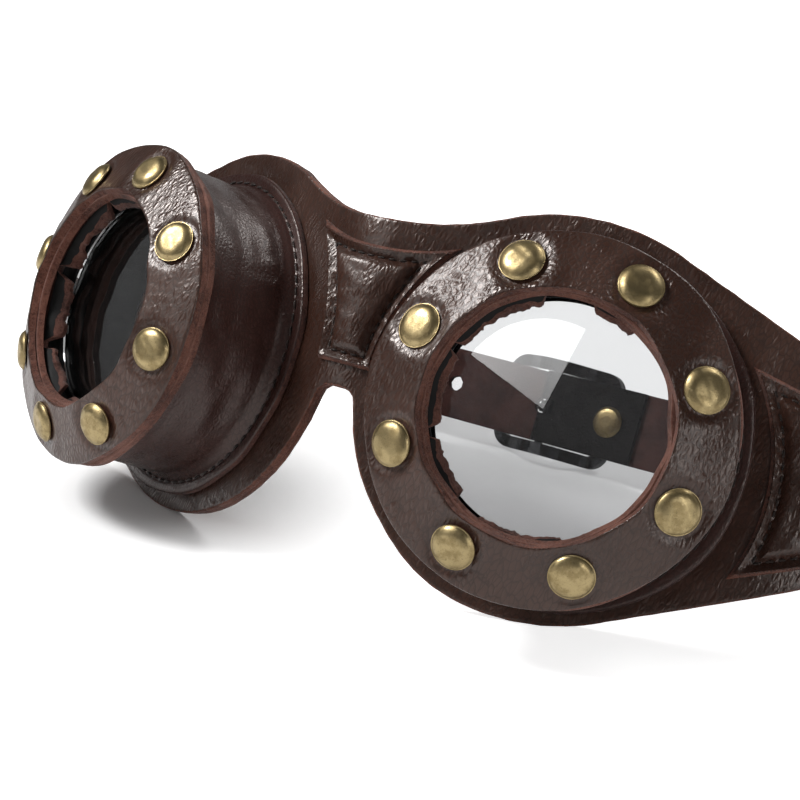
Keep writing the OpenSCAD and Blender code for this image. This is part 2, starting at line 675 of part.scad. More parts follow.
module buckle_prong() {
    color(gunmetal) stood() at_strap(bar_x) difference() {
        union() {
            rotate([90, 0, 0]) cylinder(r = eye_out, h = prong_eye_w, center = true);
            prong_run(prong_foot, prong_knee) sphere(d = prong_d * 1.1, $fn = 32);
            prong_run(prong_knee, prong_tip) cylinder(d1 = prong_d, d2 = prong_d * 0.5, h = 0.7);
        }
        rotate([90, 0, 0])
            cylinder(r = bar_d / 2 + bar_gap, h = 2 * strap_w, center = true);
    }
}
// Side outline of the folded tab's two flaps, at a given distance outside their own gap
module tab_flaps(bar_r, flat_r, l) {
    polygon([[0, bar_r], [4, flat_r], [l, flat_r], [l, -flat_r], [4, -flat_r], [0, -bar_r]]);
}
module buckle_tab() {
    bore_r = bar_d / 2 + bar_gap;
    slot_w = prong_eye_w + 0.6;
    color(black) stood() difference() {
        at_strap(bar_x) rotate([90, 0, 0]) difference() {
            union() {
                cylinder(r = tab_out, h = strap_w, center = true);
                linear_extrude(strap_w, center = true) tab_flaps(tab_out - 0.02, tab_flat, tab_l);
            }
            cylinder(r = bore_r, h = strap_w + 2, center = true);
            linear_extrude(strap_w + 2, center = true)
                tab_flaps(bore_r - 0.02, tab_flat - tab_t, tab_l + 1);
        }
        at_strap(bar_x - 3.4) cube([2 * eye_out + 7.6, slot_w, 12], center = true);
        tab_rivet_hole();
    }
}
module keeper_loop() {
    inner_h = strap_w + 0.8;
    low = -strap_t / 2 - 0.25;
    high = keeper_in + strap_t / 2 + 0.25;
    color(black) stood() at_strap(bar_x + keeper_run) difference() {
        translate([0, 0, low - keeper_t])
            round_slab(keeper_w, inner_h + 2 * keeper_t, 1, high - low + 2 * keeper_t);
        translate([-keeper_w, -inner_h / 2, low]) cube([2 * keeper_w, inner_h, high - low]);
    }
}

mask_leather();
mask_lining();
bridge_patch();
side_patch(1);  // side_patch_right
side_patch(-1);  // side_patch_left
cup_wall(1);  // cup_wall_right
cup_wall(-1);  // cup_wall_left
bezel_back(1);  // bezel_back_right
bezel_back(-1);  // bezel_back_left
bezel_front(1);  // bezel_front_right
bezel_front(-1);  // bezel_front_left
bezel_rivets(1);  // bezel_rivets_right
bezel_rivets(-1);  // bezel_rivets_left
lens_holder(1);  // lens_holder_right
lens_holder(-1);  // lens_holder_left
lens(1);  // lens_right
lens(-1);  // lens_left
lens_ring(1);  // lens_ring_right
lens_ring(-1);  // lens_ring_left
strap_buckle_side();
strap_tongue_side();
strap_rivets(1);  // strap_rivets_right
strap_rivets(-1);  // strap_rivets_left
buckle_frame();
buckle_prong();
buckle_tab();
tab_rivet();
keeper_loop();
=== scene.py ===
# %% [markdown]
# # Leather goggles with riveted cups
# The CAD part gives every piece its size and its place, so the lesson starts by loading it.
# All that follows is the finish: cut leather, seams, torn edges, brass, smoked glass and light.

# %% Load the frame
import math
import bpy
import numpy as np
from mathutils import Matrix, Vector, geometry, kdtree


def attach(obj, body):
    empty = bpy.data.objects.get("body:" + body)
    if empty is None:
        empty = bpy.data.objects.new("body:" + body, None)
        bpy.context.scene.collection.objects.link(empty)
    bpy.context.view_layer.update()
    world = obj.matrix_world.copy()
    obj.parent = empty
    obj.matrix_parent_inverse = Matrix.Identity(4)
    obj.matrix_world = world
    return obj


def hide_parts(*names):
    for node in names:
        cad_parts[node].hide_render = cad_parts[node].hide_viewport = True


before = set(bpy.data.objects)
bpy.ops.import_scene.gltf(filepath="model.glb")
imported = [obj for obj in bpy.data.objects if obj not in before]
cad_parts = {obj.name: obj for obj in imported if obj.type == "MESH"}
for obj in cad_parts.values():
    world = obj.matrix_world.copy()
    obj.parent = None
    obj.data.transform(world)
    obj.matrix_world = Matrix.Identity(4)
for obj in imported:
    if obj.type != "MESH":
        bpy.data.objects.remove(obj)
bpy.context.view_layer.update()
SIDES = {"right": 1, "left": -1}

# %% [markdown]
# The mask was drawn upright and then leaned back until it stood on its lobes and its buckle.
# Working in that upright drawing is easier, so one small function stands a drawn point up.
# Drawn sizes are in millimetres and Blender works in metres.

# %% Stand the drawing on the table
LEAN = math.radians(24.1804)
CENTRE_Y = 18.5709
LIFT = 38.6018
MM = 0.001
CUP_X = 49.5
SPLAY = math.radians(20)


def stood(points):
    p = np.asarray(points, float)
    c, s = math.cos(LEAN), math.sin(LEAN)
    y = c * p[..., 1] + s * p[..., 2] - CENTRE_Y
    z = -s * p[..., 1] + c * p[..., 2] + LIFT
    return np.stack([p[..., 0], y, z], -1) * MM


def cup_place(side, x, y, height):
    turn = SIDES[side] * SPLAY
    x, y, height = np.broadcast_arrays(x, y, height)
    across = SIDES[side] * CUP_X + x * math.cos(turn) + height * math.sin(turn)
    depth = x * math.sin(turn) - height * math.cos(turn)
    return stood(np.stack([across, depth, y], -1))


print("cup rims start at", np.round(cup_place("right", 0, 0, 33.7), 4))

# %% [markdown]
# Mask and strap are one long band seen from above: a bend over the nose, flat cheeks, temple
# bends and the loop behind the head. A point on the band needs three numbers only: how far
# along the band it is, how high, and how far out from the face of the leather.

# %% The plan line of mask and strap
NOSE_R, FLAT_RUN, WING_R, WING_RUN = 20, 41.5, 36, 14
WING_TURN = math.radians(76)
STRAP_BACK, BACKING = 74.8, 2.7
nose_run = NOSE_R * SPLAY
cheek_run = (CUP_X - NOSE_R * math.sin(SPLAY)) / math.cos(SPLAY)
cup_s = nose_run + cheek_run
flat_s = cup_s + FLAT_RUN
wing_s = flat_s + WING_R * (WING_TURN - SPLAY)
lap_s = wing_s + WING_RUN


def arc(radius, a, b):
    return radius * np.stack([np.sin(b) - np.sin(a), np.cos(a) - np.cos(b)], -1)


def way(run, a):
    return np.stack([run * math.cos(a), run * math.sin(a)], -1)


flat_p = np.array([CUP_X, 0]) + way(FLAT_RUN, SPLAY)
wing_p = flat_p + arc(WING_R, SPLAY, WING_TURN)
lap_p = wing_p + way(WING_RUN, WING_TURN)
BACK_Y = STRAP_BACK + BACKING
heel_r = (BACK_Y - lap_p[1]) / (1 + math.cos(WING_TURN))
heel_s = lap_s + heel_r * (math.pi - WING_TURN)
heel_x = lap_p[0] - heel_r * math.sin(WING_TURN)
half_s = heel_s + heel_x


def band_place(run, z, out):
    run, z, out = np.broadcast_arrays(np.asarray(run, float), z, out)
    s = np.abs(run)
    k = np.where(run < 0, -1.0, 1.0)
    tests = [s < nose_run, s < flat_s, s < wing_s, s < lap_s, s < heel_s]
    turn = np.select(
        tests, [s / NOSE_R, SPLAY, SPLAY + (s - flat_s) / WING_R, WING_TURN,
                WING_TURN + (s - lap_s) / heel_r], math.pi)
    nose_y = -NOSE_R * (1 - math.cos(SPLAY)) - cheek_run * math.sin(SPLAY)
    legs = [
        np.array([0, nose_y]) + arc(NOSE_R, 0, turn),
        np.array([CUP_X, 0]) + way(s - cup_s, SPLAY),
        flat_p + arc(WING_R, SPLAY, turn),
        wing_p + way(s - wing_s, WING_TURN),
        lap_p + arc(heel_r, WING_TURN, turn),
    ]
    last = np.stack([heel_x - (s - heel_s), np.full_like(s, BACK_Y)], -1)
    plan = np.select([t[..., None] for t in tests], legs, last)
    x = k * (plan[..., 0] + out * np.sin(turn))
    return stood(np.stack([x, plan[..., 1] - out * np.cos(turn), z], -1))


print("strap loop, mm:", round(2 * half_s))

# %% [markdown]
# Hand work is never quite regular. A sum of a few slow waves in random directions gives each
# piece its own wobble, the same one at every run because each sum has its own seed.

# %% Hand-made irregularity
def wobble(seed, size, count=7):
    rng = np.random.default_rng(seed)
    turn = rng.uniform(0, 2 * math.pi, count)
    pace = 2 * math.pi / (size * rng.uniform(0.6, 1.8, count))
    start = rng.uniform(0, 2 * math.pi, count)

    def at(u, v=0.0):
        u, v = np.broadcast_arrays(np.asarray(u, float), v)
        ways = [np.sin(p * (u * math.cos(t) + v * math.sin(t)) + q)
                for t, p, q in zip(turn, pace, start)]
        return sum(ways) / math.sqrt(count)
    return at


def smooth(a, b, x):
    t = np.clip((np.asarray(x, float) - a) / (b - a), 0, 1)
    return t * t * (3 - 2 * t)


def ridge(x, middle, width):
    return np.exp(-((x - middle) / width) ** 2)


print("wobble of seed 1:", np.round(wobble(1, 10)(np.arange(4) * 5.0), 2))

# %% [markdown]
# Every made mesh goes through one function. It sets smooth shading with creases at sharp
# corners, gives faces their finish, hides the CAD piece that it stands for and ties it to the
# body that carries it.

# %% Put a mesh in the scene
finishes = {}


def new_object(name, data):
    made = bpy.data.objects.new(name, data)
    bpy.context.scene.collection.objects.link(made)
    return made


def new_piece(name, points, faces, finish, slots=None, body="goggles", replaces=(), kinds=None,
              sharp=50):
    looks = [finish] if isinstance(finish, str) else finish
    slots = slots or looks[0]
    mesh = bpy.data.meshes.new(name)
    mesh.from_pydata([tuple(p) for p in points], [], [tuple(map(int, f)) for f in faces])
    for key in looks:
        mesh.materials.append(finishes[key])
    if kinds is not None:
        mesh.polygons.foreach_set("material_index", np.asarray(kinds, np.int32))
    mesh.polygons.foreach_set("use_smooth", np.ones(len(faces), bool))
    mesh.set_sharp_from_angle(angle=math.radians(sharp))
    mesh.validate()
    piece = new_object(name, mesh)
    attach(piece, body)
    if replaces:
        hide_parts(*replaces)
    return piece


def round_grid(rows, columns):
    r, c = np.meshgrid(np.arange(rows), np.arange(columns), indexing="ij")
    r2, c2 = (r + 1) % rows, (c + 1) % columns
    quads = np.stack([r * columns + c, r2 * columns + c, r2 * columns + c2, r * columns + c2], -1)
    return quads.reshape(-1, 4)


print("a ring of 4 by 3 has", len(round_grid(4, 3)), "faces")

# %% [markdown]
# ## Finishes
# Materials are built from nodes. Little helpers keep the code short: plug fills a node's
# sockets by name, or by number as in i0, with a plain value or a link, and add makes a node
# and plugs it. The last two start a material and a node group. A group hands over its tree,
# its inputs, its output node and the object's own space.

# %% Node helpers
def plug(node, **values):
    for key, value in values.items():
        numbered = key[0] == "i" and key[1:].isdigit()
        socket = node.inputs[int(key[1:]) if numbered else key.replace("_", " ")]
        if isinstance(value, bpy.types.NodeSocket):
            node.id_data.links.new(value, socket)
        else:
            socket.default_value = value
    return node


def add(tree, kind, settings=None, **values):
    node = tree.nodes.new(kind)
    for key, value in (settings or {}).items():
        setattr(node, key, value)
    return plug(node, **values)


def math_node(tree, operation, a, b):
    return add(tree, "ShaderNodeMath", {"operation": operation}, i0=a, i1=b).outputs[0]


def noise(tree, where, scale, detail, **more):
    return add(tree, "ShaderNodeTexNoise", Vector=where, Scale=scale, Detail=detail,
               **more).outputs


def remap(tree, value, a=0.0, b=1.0, low=0.0, high=1.0):
    return add(tree, "ShaderNodeMapRange", {"interpolation_type": "SMOOTHSTEP"}, Value=value,
               From_Min=a, From_Max=b, To_Min=low, To_Max=high).outputs["Result"]


def mix_colour(tree, share, a, b):
    return add(tree, "ShaderNodeMix", {"data_type": "RGBA"}, i0=share, i6=a, i7=b).outputs[2]


def new_material(name):
    material = bpy.data.materials.new(name)
    material.use_nodes = True
    return material, material.node_tree, material.node_tree.nodes["Principled BSDF"]


def new_group(name, inputs, outputs):
    tree = bpy.data.node_groups.new(name, "ShaderNodeTree")
    for key, value in inputs.items():
        s = tree.interface.new_socket(name=key, in_out="INPUT", socket_type="NodeSocketFloat")
        s.default_value = value
    for key in outputs:
        tree.interface.new_socket(name=key, in_out="OUTPUT", socket_type="NodeSocketFloat")
    where = add(tree, "ShaderNodeTexCoord").outputs["Object"]
    return tree, tree.nodes.new("NodeGroupInput").outputs, tree.nodes.new("NodeGroupOutput"), where


print("node helpers ready")

# %% [markdown]
# The leather is a glossy coated one. Its grain is small pebbles, stretched where the hide was
# pulled, with finer cracks between them. Cell borders of a Voronoi texture are those cracks;
# a noise bends the space first, so that no cell is straight.

# %% Grain group
tree, given, out, where = new_group(
    "leather_grain", {"Size": 900.0, "Stretch": 0.5, "Bend": 0.0006}, ["Height", "Crack", "Patch"])
bend = noise(tree, where, 420.0, 2.0)["Color"]
shift = add(tree, "ShaderNodeVectorMath", {"operation": "SUBTRACT"}, i0=bend, i1=(0.5, 0.5, 0.5))
reach = add(tree, "ShaderNodeVectorMath", {"operation": "SCALE"},
            i0=shift.outputs[0], Scale=given["Bend"])
bent = add(tree, "ShaderNodeVectorMath", {"operation": "ADD"}, i0=where, i1=reach.outputs[0])
pull = add(tree, "ShaderNodeCombineXYZ", X=1.0, Y=given["Stretch"], Z=1.0)
spun = add(tree, "ShaderNodeVectorRotate", {"rotation_type": "EULER_XYZ"},
           Vector=bent.outputs[0], Rotation=(-1.35, 0.0, 0.3))
drawn = add(tree, "ShaderNodeVectorMath", {"operation": "MULTIPLY"},
            i0=spun.outputs[0], i1=pull.outputs[0])
large, small = (
    add(tree, "ShaderNodeTexVoronoi", {"feature": "DISTANCE_TO_EDGE"},
        Vector=drawn.outputs[0], Scale=size).outputs["Distance"]
    for size in (given["Size"], math_node(tree, "MULTIPLY", given["Size"], 2.1)))
pebble = remap(tree, large, 0.0, 0.45)
fine = remap(tree, small, 0.0, 0.4, high=0.22)
patch = noise(tree, where, 55.0, 3.0)["Fac"]
slack = noise(tree, drawn.outputs[0], 230.0, 2.0)["Fac"]
depth = remap(tree, slack, 0.35, 0.65, 0.45)
level = math_node(tree, "MULTIPLY", math_node(tree, "ADD", pebble, fine), depth)
slow = math_node(tree, "MULTIPLY", slack, 2.5)
plug(out, Height=math_node(tree, "ADD", level, slow), Crack=remap(tree, large, 0.0, 0.12, 1.0, 0.0),
     Patch=remap(tree, patch, 0.35, 0.65))
GRAIN = tree
print("grain group:", len(tree.nodes), "nodes")

# %% [markdown]
# A cut edge shows the hide's fibres: a rough, lighter, reddish brown with dark pits. The same
# group serves the lining, which is the raw side of a hide.

# %% Fibre group
tree, given, out, where = new_group("hide_fibre", {"Size": 1500.0}, ["Height", "Tone"])
fibre = noise(tree, where, given["Size"], 5.0, Roughness=0.7, Distortion=1.2)["Fac"]
cloud = noise(tree, where, 160.0, 3.0)["Fac"]
both = math_node(tree, "ADD", math_node(tree, "MULTIPLY", fibre, 0.6),
                 math_node(tree, "MULTIPLY", cloud, 0.4))
plug(out, Height=fibre, Tone=remap(tree, both, 0.36, 0.62))
FIBRE = tree
print("fibre group:", len(tree.nodes), "nodes")

# %% [markdown]
# Old brass is not even: rubbed gold on the high spots, olive patina between, and fine dark
# specks all over. The masks are a group, because the rivets and the buckle's steel share them.

# %% Patina group
tree, given, out, where = new_group("old_brass", {"Speck": 2600.0}, ["Patina", "Specks", "Height"])
cloud = noise(tree, where, 420.0, 4.0, Roughness=0.65)["Fac"]
speck = noise(tree, where, given["Speck"], 3.0, Roughness=0.8)["Fac"]
plug(out, Patina=remap(tree, cloud, 0.38, 0.66), Specks=remap(tree, speck, 0.55, 0.7), Height=speck)
BRASS = tree
print("patina group:", len(tree.nodes), "nodes")

# %% [markdown]
# One function starts every material: a Principled shader with its plain values set on its own
# sockets, and a Bump node that takes the height of whichever group the finish uses.

# %% Start a material
def rgb(r, g, b):
    return (r, g, b, 1.0)


def start_finish(name, group=None, bump=0.0, depth=0.0, **values):
    finishes[name], t, shader = new_material(name)
    plug(shader, **values)
    made = None
    if group:
        made = t.nodes.new("ShaderNodeGroup")
        made.node_tree = group
        rough = add(t, "ShaderNodeBump", Strength=bump, Distance=depth,
                    Height=made.outputs["Height"])
        plug(shader, Normal=rough.outputs["Normal"], Coat_Normal=rough.outputs["Normal"])
    return t, shader, made


GRAIN_DEPTH, FIBRE_DEPTH, BRASS_DEPTH = 0.00017, 0.0003, 0.00008


def face_leather(name, dark, light, rough, size, stretch, bump, coat, gloss=0.42):
    t, shader, grain = start_finish(name, GRAIN, bump, GRAIN_DEPTH, Coat_Weight=coat,
                                    Coat_Roughness=0.3, Specular_IOR_Level=gloss,
                                    Specular_Tint=rgb(1.0, 0.84, 0.76))
    plug(grain, Size=size, Stretch=stretch)
    body = mix_colour(t, grain.outputs["Patch"], dark, light)
    # The grain's cracks are painted darker: painted shade in the recesses between the pebbles.
    painted_crack_shade = [c * 0.45 for c in dark[:3]] + [1.0]
    dirt_specks_and_crack_shade = math_node(t, "MULTIPLY", grain.outputs["Crack"], 0.7)
    spread = remap(t, grain.outputs["Patch"], low=rough - 0.05, high=rough + 0.07)
    dull = math_node(t, "MULTIPLY", grain.outputs["Crack"], 0.2)
    plug(shader, Base_Color=mix_colour(t, dirt_specks_and_crack_shade, body, painted_crack_shade),
         Roughness=math_node(t, "ADD", spread, dull))


face_leather("brown_leather", rgb(0.036, 0.0142, 0.0088), rgb(0.055, 0.0232, 0.0152),
             rough=0.31, size=980, stretch=0.36, bump=0.55, coat=0.6)
face_leather("tube_leather", rgb(0.033, 0.0125, 0.0100), rgb(0.046, 0.0188, 0.0155),
             rough=0.30, size=1050, stretch=0.6, bump=0.3, coat=0.4)
face_leather("strap_leather", rgb(0.035, 0.010, 0.009), rgb(0.058, 0.018, 0.015),
             rough=0.36, size=1100, stretch=0.8, bump=0.25, coat=0.1, gloss=0.3)
face_leather("black_leather", rgb(0.008, 0.008, 0.009), rgb(0.013, 0.013, 0.014),
             rough=0.3, size=1100, stretch=0.8, bump=0.25, coat=0.0, gloss=0.15)
print("leathers:", sorted(finishes))

# %% [markdown]
# Raw edges, lining and the waxed, nearly black thread share the fibre group. They differ in
# their dark and light tone, in roughness, in relief and in a little sheen.

# %% Raw hide and thread
def raw_hide(name, dark, light, rough, bump, sheen=0.15):
    t, shader, fibre = start_finish(name, FIBRE, bump, FIBRE_DEPTH, Specular_IOR_Level=0.2,
                                    Sheen_Weight=sheen, Sheen_Roughness=0.5)
    tone = fibre.outputs["Tone"]
    plug(shader, Base_Color=mix_colour(t, tone, dark, light),
         Roughness=remap(t, tone, low=rough, high=rough - 0.12))


RAW = {
    "cut_edge": ((0.052, 0.019, 0.013), (0.19, 0.073, 0.048), 0.9, 1.0),
    # torn_edge is set darker than cut_edge: painted shade for the strips down in the cup's hole.
    "torn_edge": ((0.040, 0.017, 0.013), (0.15, 0.062, 0.045), 0.9, 1.0),
    "raw_leather": ((0.11, 0.045, 0.033), (0.21, 0.10, 0.075), 0.95, 0.7),
    "dark_edge": ((0.030, 0.013, 0.011), (0.095, 0.040, 0.031), 0.8, 0.7),
    "strap_inside": ((0.045, 0.017, 0.014), (0.10, 0.038, 0.030), 0.6, 0.4, 0.0),
    "thread": ((0.008, 0.005, 0.004), (0.030, 0.018, 0.014), 0.42, 0.6),
}
for name, (dark, light, *rest) in RAW.items():
    raw_hide(name, rgb(*dark), rgb(*light), *rest)
print("raw finishes:", sorted(RAW))

# %% [markdown]
# Metal and plastic. The brass darkens where the patina mask is high. Gunmetal is a dark steel,
# rubbed smooth, and the lens holders are a matte black moulding.

# %% Brass, gunmetal and plastic
t, shader, masks = start_finish("antique_brass", BRASS, 0.25, BRASS_DEPTH, Metallic=1.0)
gold = mix_colour(t, masks.outputs["Patina"], rgb(0.48, 0.375, 0.195), rgb(0.33, 0.25, 0.122))
dirt_specks_and_crack_shade = math_node(t, "MULTIPLY", masks.outputs["Specks"], 0.6)
plug(shader, Base_Color=mix_colour(t, dirt_specks_and_crack_shade, gold, rgb(0.14, 0.11, 0.055)),
     Roughness=remap(t, masks.outputs["Patina"], low=0.34, high=0.46))

t, shader, masks = start_finish("gunmetal", BRASS, 0.12, BRASS_DEPTH, Metallic=1.0)
steel = mix_colour(t, masks.outputs["Patina"], rgb(0.10, 0.10, 0.105), rgb(0.05, 0.05, 0.053))
plug(shader, Base_Color=steel, Roughness=remap(t, masks.outputs["Specks"], low=0.22, high=0.4))

t, shader, fibre = start_finish("black_plastic", FIBRE, 0.12, 0.0001, Specular_IOR_Level=0.2)
soot = mix_colour(t, fibre.outputs["Tone"], rgb(0.006, 0.006, 0.006), rgb(0.014, 0.013, 0.013))
plug(shader, Base_Color=soot, Roughness=remap(t, fibre.outputs["Tone"], low=0.6, high=0.75))
print("finishes so far:", len(finishes))

# %% [markdown]
# The lens is flat smoked glass. Transmission and metallic stay plain numbers; only a faint
# smear in the roughness keeps the surface from being perfect. Its colour darkens toward the
# lower rim: painted shadow, for the shaded floor seen through the lower glass.

# %% Smoked glass
t, shader, _ = start_finish("smoke_lens", Transmission_Weight=1.0, IOR=1.46)
where = add(t, "ShaderNodeTexCoord").outputs["Object"]
smear = noise(t, where, 60.0, 4.0)["Fac"]
# Darker toward the lower rim: painted shadow of the shaded floor seen through the glass.
height = add(t, "ShaderNodeSeparateXYZ", i0=where).outputs["Z"]
painted_shadow_fade = remap(t, height, 0.014, 0.052)
plug(shader, Base_Color=mix_colour(t, painted_shadow_fade, rgb(0.24, 0.24, 0.245), rgb(0.50, 0.505, 0.51)),
     Roughness=remap(t, smear, 0.45, 0.8, high=0.03))
print("glass bends light by", round(shader.inputs["IOR"].default_value, 2))

# %% [markdown]
# CAD pieces whose shape is already right keep their mesh and only get a finish. The other
# pieces are made anew below, each in the place of its CAD piece.

# %% Finish the CAD pieces that stay
KEPT = {
    "antique_brass": ["strap_rivets_right", "strap_rivets_left", "tab_rivet"],
    "gunmetal": ["buckle_frame", "buckle_prong"],
    "black_leather": ["buckle_tab", "keeper_loop"],
}
for key, names in KEPT.items():
    for name in names:
        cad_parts[name].data.materials.clear()
        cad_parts[name].data.materials.append(finishes[key])
print("finished CAD pieces:", sum(map(len, KEPT.values())))

# %% [markdown]
# ## Cut leather
# A flat piece of leather is an outline with holes. It is filled with triangles, every point
# learns how far it is from the cut, and two sheets, face and back, are lifted from it. The
# distance lets the face roll down to the cut, as a knife and wear leave it. Rows of points
# follow the cut closely and a triangular grid fills the rest.

# %% Fill an outline
INSETS = (0.15, 0.4, 0.8)
ROW_STEP, EDGE_STEP, MEASURE_STEP = 0.87, 0.8, 0.2


def even_odd(points, loop):
    hit = np.zeros(len(points), bool)
    x, y = points[:, 0], points[:, 1]
    for (x1, y1), (x2, y2) in zip(loop, np.roll(loop, -1, axis=0)):
        crossing = (y1 > y) != (y2 > y)
        rise = y2 - y1 if y2 != y1 else 1e-9
        hit ^= crossing & (x < (x2 - x1) * (y - y1) / rise + x1)
    return hit


def closed_runs(loop):
    closed = np.vstack([loop, loop[:1]])
    steps = np.linalg.norm(np.diff(closed, axis=0), axis=1)
    return closed, np.concatenate([[0], np.cumsum(steps)])


def resample(loop, step):
    closed, runs = closed_runs(loop)
    at = np.linspace(0, runs[-1], max(8, int(runs[-1] / step)), endpoint=False)
    return np.stack([np.interp(at, runs, closed[:, i]) for i in (0, 1)], -1)


def inward(loop):
    way_on = np.roll(loop, -1, axis=0) - np.roll(loop, 1, axis=0)
    normal = np.stack([-way_on[:, 1], way_on[:, 0]], -1)
    area = np.sum(loop[:, 0] * np.roll(loop[:, 1], -1) - np.roll(loop[:, 0], -1) * loop[:, 1])
    return normal / np.linalg.norm(normal, axis=1)[:, None] * np.sign(area)


def from_cut(points, loops):
    fine = np.vstack([resample(loop, MEASURE_STEP) for loop in loops])
    tree = kdtree.KDTree(len(fine))
    for i, p in enumerate(fine):
        tree.insert((*p, 0), i)
    tree.balance()
    return np.array([tree.find((*p, 0))[2] for p in points])


def inside(points, loops):
    ok = even_odd(points, loops[0])
    for hole in loops[1:]:
        ok &= ~even_odd(points, hole)
    return ok


def fill_outline(outline, holes, step):
    loops = [resample(loop, step * EDGE_STEP) for loop in [outline] + holes]
    parts = []
    for number, loop in enumerate(loops):
        side = inward(loop) * (1 if number == 0 else -1)
        parts += [(loop + side * d, d * 0.85) for d in INSETS]
    low, high = loops[0].min(0), loops[0].max(0)
    rows = np.arange(low[1], high[1], step * ROW_STEP)
    grid = np.array([[x + (i % 2) * step / 2, y] for i, y in enumerate(rows)
                     for x in np.arange(low[0], high[0], step)])
    parts.append((grid, INSETS[-1] + step * 0.5))
    kept = []
    for points, reach in parts:
        points = points[inside(points, loops)]
        kept.append(points[from_cut(points, loops) > reach])
    cut = np.vstack(loops)
    edges, first = [], 0
    for loop in loops:
        n = len(loop)
        edges += [(first + i, first + (i + 1) % n) for i in range(n)]
        first += n
    everything = np.vstack([cut] + kept)
    made = geometry.delaunay_2d_cdt([Vector(p) for p in everything], edges, [], 0, 1e-6)
    flat = np.array([tuple(v) for v in made[0]])
    tris = np.array([f for f in made[2] if len(f) == 3])
    tris = tris[inside(flat[tris].mean(1), loops)]
    ab, ac = (flat[tris[:, i]] - flat[tris[:, 0]] for i in (1, 2))
    down = ab[:, 0] * ac[:, 1] < ab[:, 1] * ac[:, 0]
    tris[down] = tris[down][:, ::-1]
    used = np.unique(tris)
    renumber = np.full(len(flat), -1)
    renumber[used] = np.arange(len(used))
    flat, tris = flat[used], renumber[tris]
    return flat, tris, np.clip(from_cut(flat, loops) - 1e-4, 0, None)


square = np.array([[0, 0], [10, 0], [10, 10], [0, 10]], float)
print("a 10 mm square fills with", len(fill_outline(square, [], 1.5)[1]), "triangles")

# %% [markdown]
# The second half of the tool lifts the filled outline into a closed piece of leather. Faces
# carry one of three finishes: the coated face, the raw back and the cut edge between them. A
# bevel is how far the edge's colour runs in over the face. The edge itself is a little hairy.

# %% Lift a filled outline
FUZZ = 0.08


def leather(name, outline, holes, step, face, back, finish, replaces, place=band_place, seed=3,
            bevel=0.0):
    flat, tris, d = fill_outline(outline, holes, step)
    top = face(flat[:, 0], flat[:, 1], d)
    low = back(flat[:, 0], flat[:, 1], d)
    n = len(flat)
    sides = np.vstack([tris[:, [0, 1]], tris[:, [1, 2]], tris[:, [2, 0]]])
    known = {(a, b) for a, b in sides}
    rim = np.array([(a, b) for a, b in sides if (b, a) not in known])
    on_rim = np.unique(rim)
    middle_at = {v: 2 * n + i for i, v in enumerate(on_rim)}
    edge = flat[on_rim]
    half = (top[on_rim] + low[on_rim]) / 2 + wobble(seed, 1.3)(edge[:, 0], edge[:, 1]) * FUZZ
    points = np.vstack([place(flat[:, 0], flat[:, 1], top), place(flat[:, 0], flat[:, 1], low),
                        place(edge[:, 0], edge[:, 1], half)])
    faces = [tuple(f) for f in tris] + [tuple(f[::-1] + n) for f in tris]
    kinds = list(np.where(d[tris].mean(1) < bevel, 2, 0)) + [1] * len(tris)
    for a, b in rim:
        ma, mb = middle_at[a], middle_at[b]
        faces += [(b, a, ma, mb), (mb, ma, a + n, b + n)]
        kinds += [2, 2]
    return new_piece(name, points, faces, finish, replaces=replaces, kinds=kinds)


def rolled(d, radius=0.45):
    lack = np.clip(radius - d, 0, radius)
    return radius - np.sqrt(radius ** 2 - lack ** 2)


print("edge rolls down, mm, at 0, 0.2 and 0.4 in:", np.round(rolled(np.array([0, 0.2, 0.4])), 2))

# %% [markdown]
# Stitches are real thread: short bent capsules that dive into the leather at both ends. A seam
# takes a closed line of points on the leather, walks along it at the stitch length and lays
# them. Each stitch is a row of small rings.

# %% Lay a seam
THREAD, STITCH_GAP, ARCH, SUNK = 0.52, 0.85, 0.42, 0.62
RINGS, RING_POINTS = 7, 8


def seam(name, line, lift, place, pitch, lean=0.0):
    line, runs = closed_runs(line)
    count = max(1, round(runs[-1] / pitch))
    step = runs[-1] / count
    points, faces = [], []
    t = np.linspace(0, 1, RINGS)
    sink = lift + THREAD * ARCH * (1 - (2 * t - 1) ** 4) - THREAD * SUNK
    size = THREAD / 2 * (0.55 + 0.45 * np.sqrt(np.clip(1 - (2 * t - 1) ** 6, 0, 1)))
    for i in range(count):
        run = (i + 0.5) * step + (t - 0.5) * (step - STITCH_GAP)
        uv = np.stack([np.interp(run, runs, line[:, k]) for k in (0, 1)], -1)
        along = uv[-1] - uv[0]
        along = along / np.linalg.norm(along)
        cross = np.array([-along[1], along[0]])
        uv = uv + cross * (lean * (t - 0.5))[:, None]
        for k in range(RINGS):
            for a in np.linspace(0, 2 * math.pi, RING_POINTS, endpoint=False):
                p = uv[k] + cross * math.cos(a) * size[k]
                points.append((p[0], p[1], sink[k] + math.sin(a) * size[k]))
        base = i * RINGS * RING_POINTS
        for k in range(RINGS - 1):
            near, far = base + k * RING_POINTS, base + (k + 1) * RING_POINTS
            for j in range(RING_POINTS):
                j2 = (j + 1) % RING_POINTS
                faces.append([near + j, near + j2, far + j2, far + j])
        faces.append([base + j for j in range(RING_POINTS)])
        faces.append([far + j for j in range(RING_POINTS)][::-1])
    p = np.array(points)
    return new_piece(name, place(p[:, 0], p[:, 1], p[:, 2]), faces, "thread", "black_leather")


print("points in a stitch:", RINGS * RING_POINTS)

# %% [markdown]
# ## Mask
# The mask's pattern is two round lobes, joined by arcs over and under the nose, with a tapering
# wing at each temple. One formula gives the upper and the lower edge: an arc in the middle, the
# lobe, a straight run and the wing's end. A slightly unsteady hand cuts it.

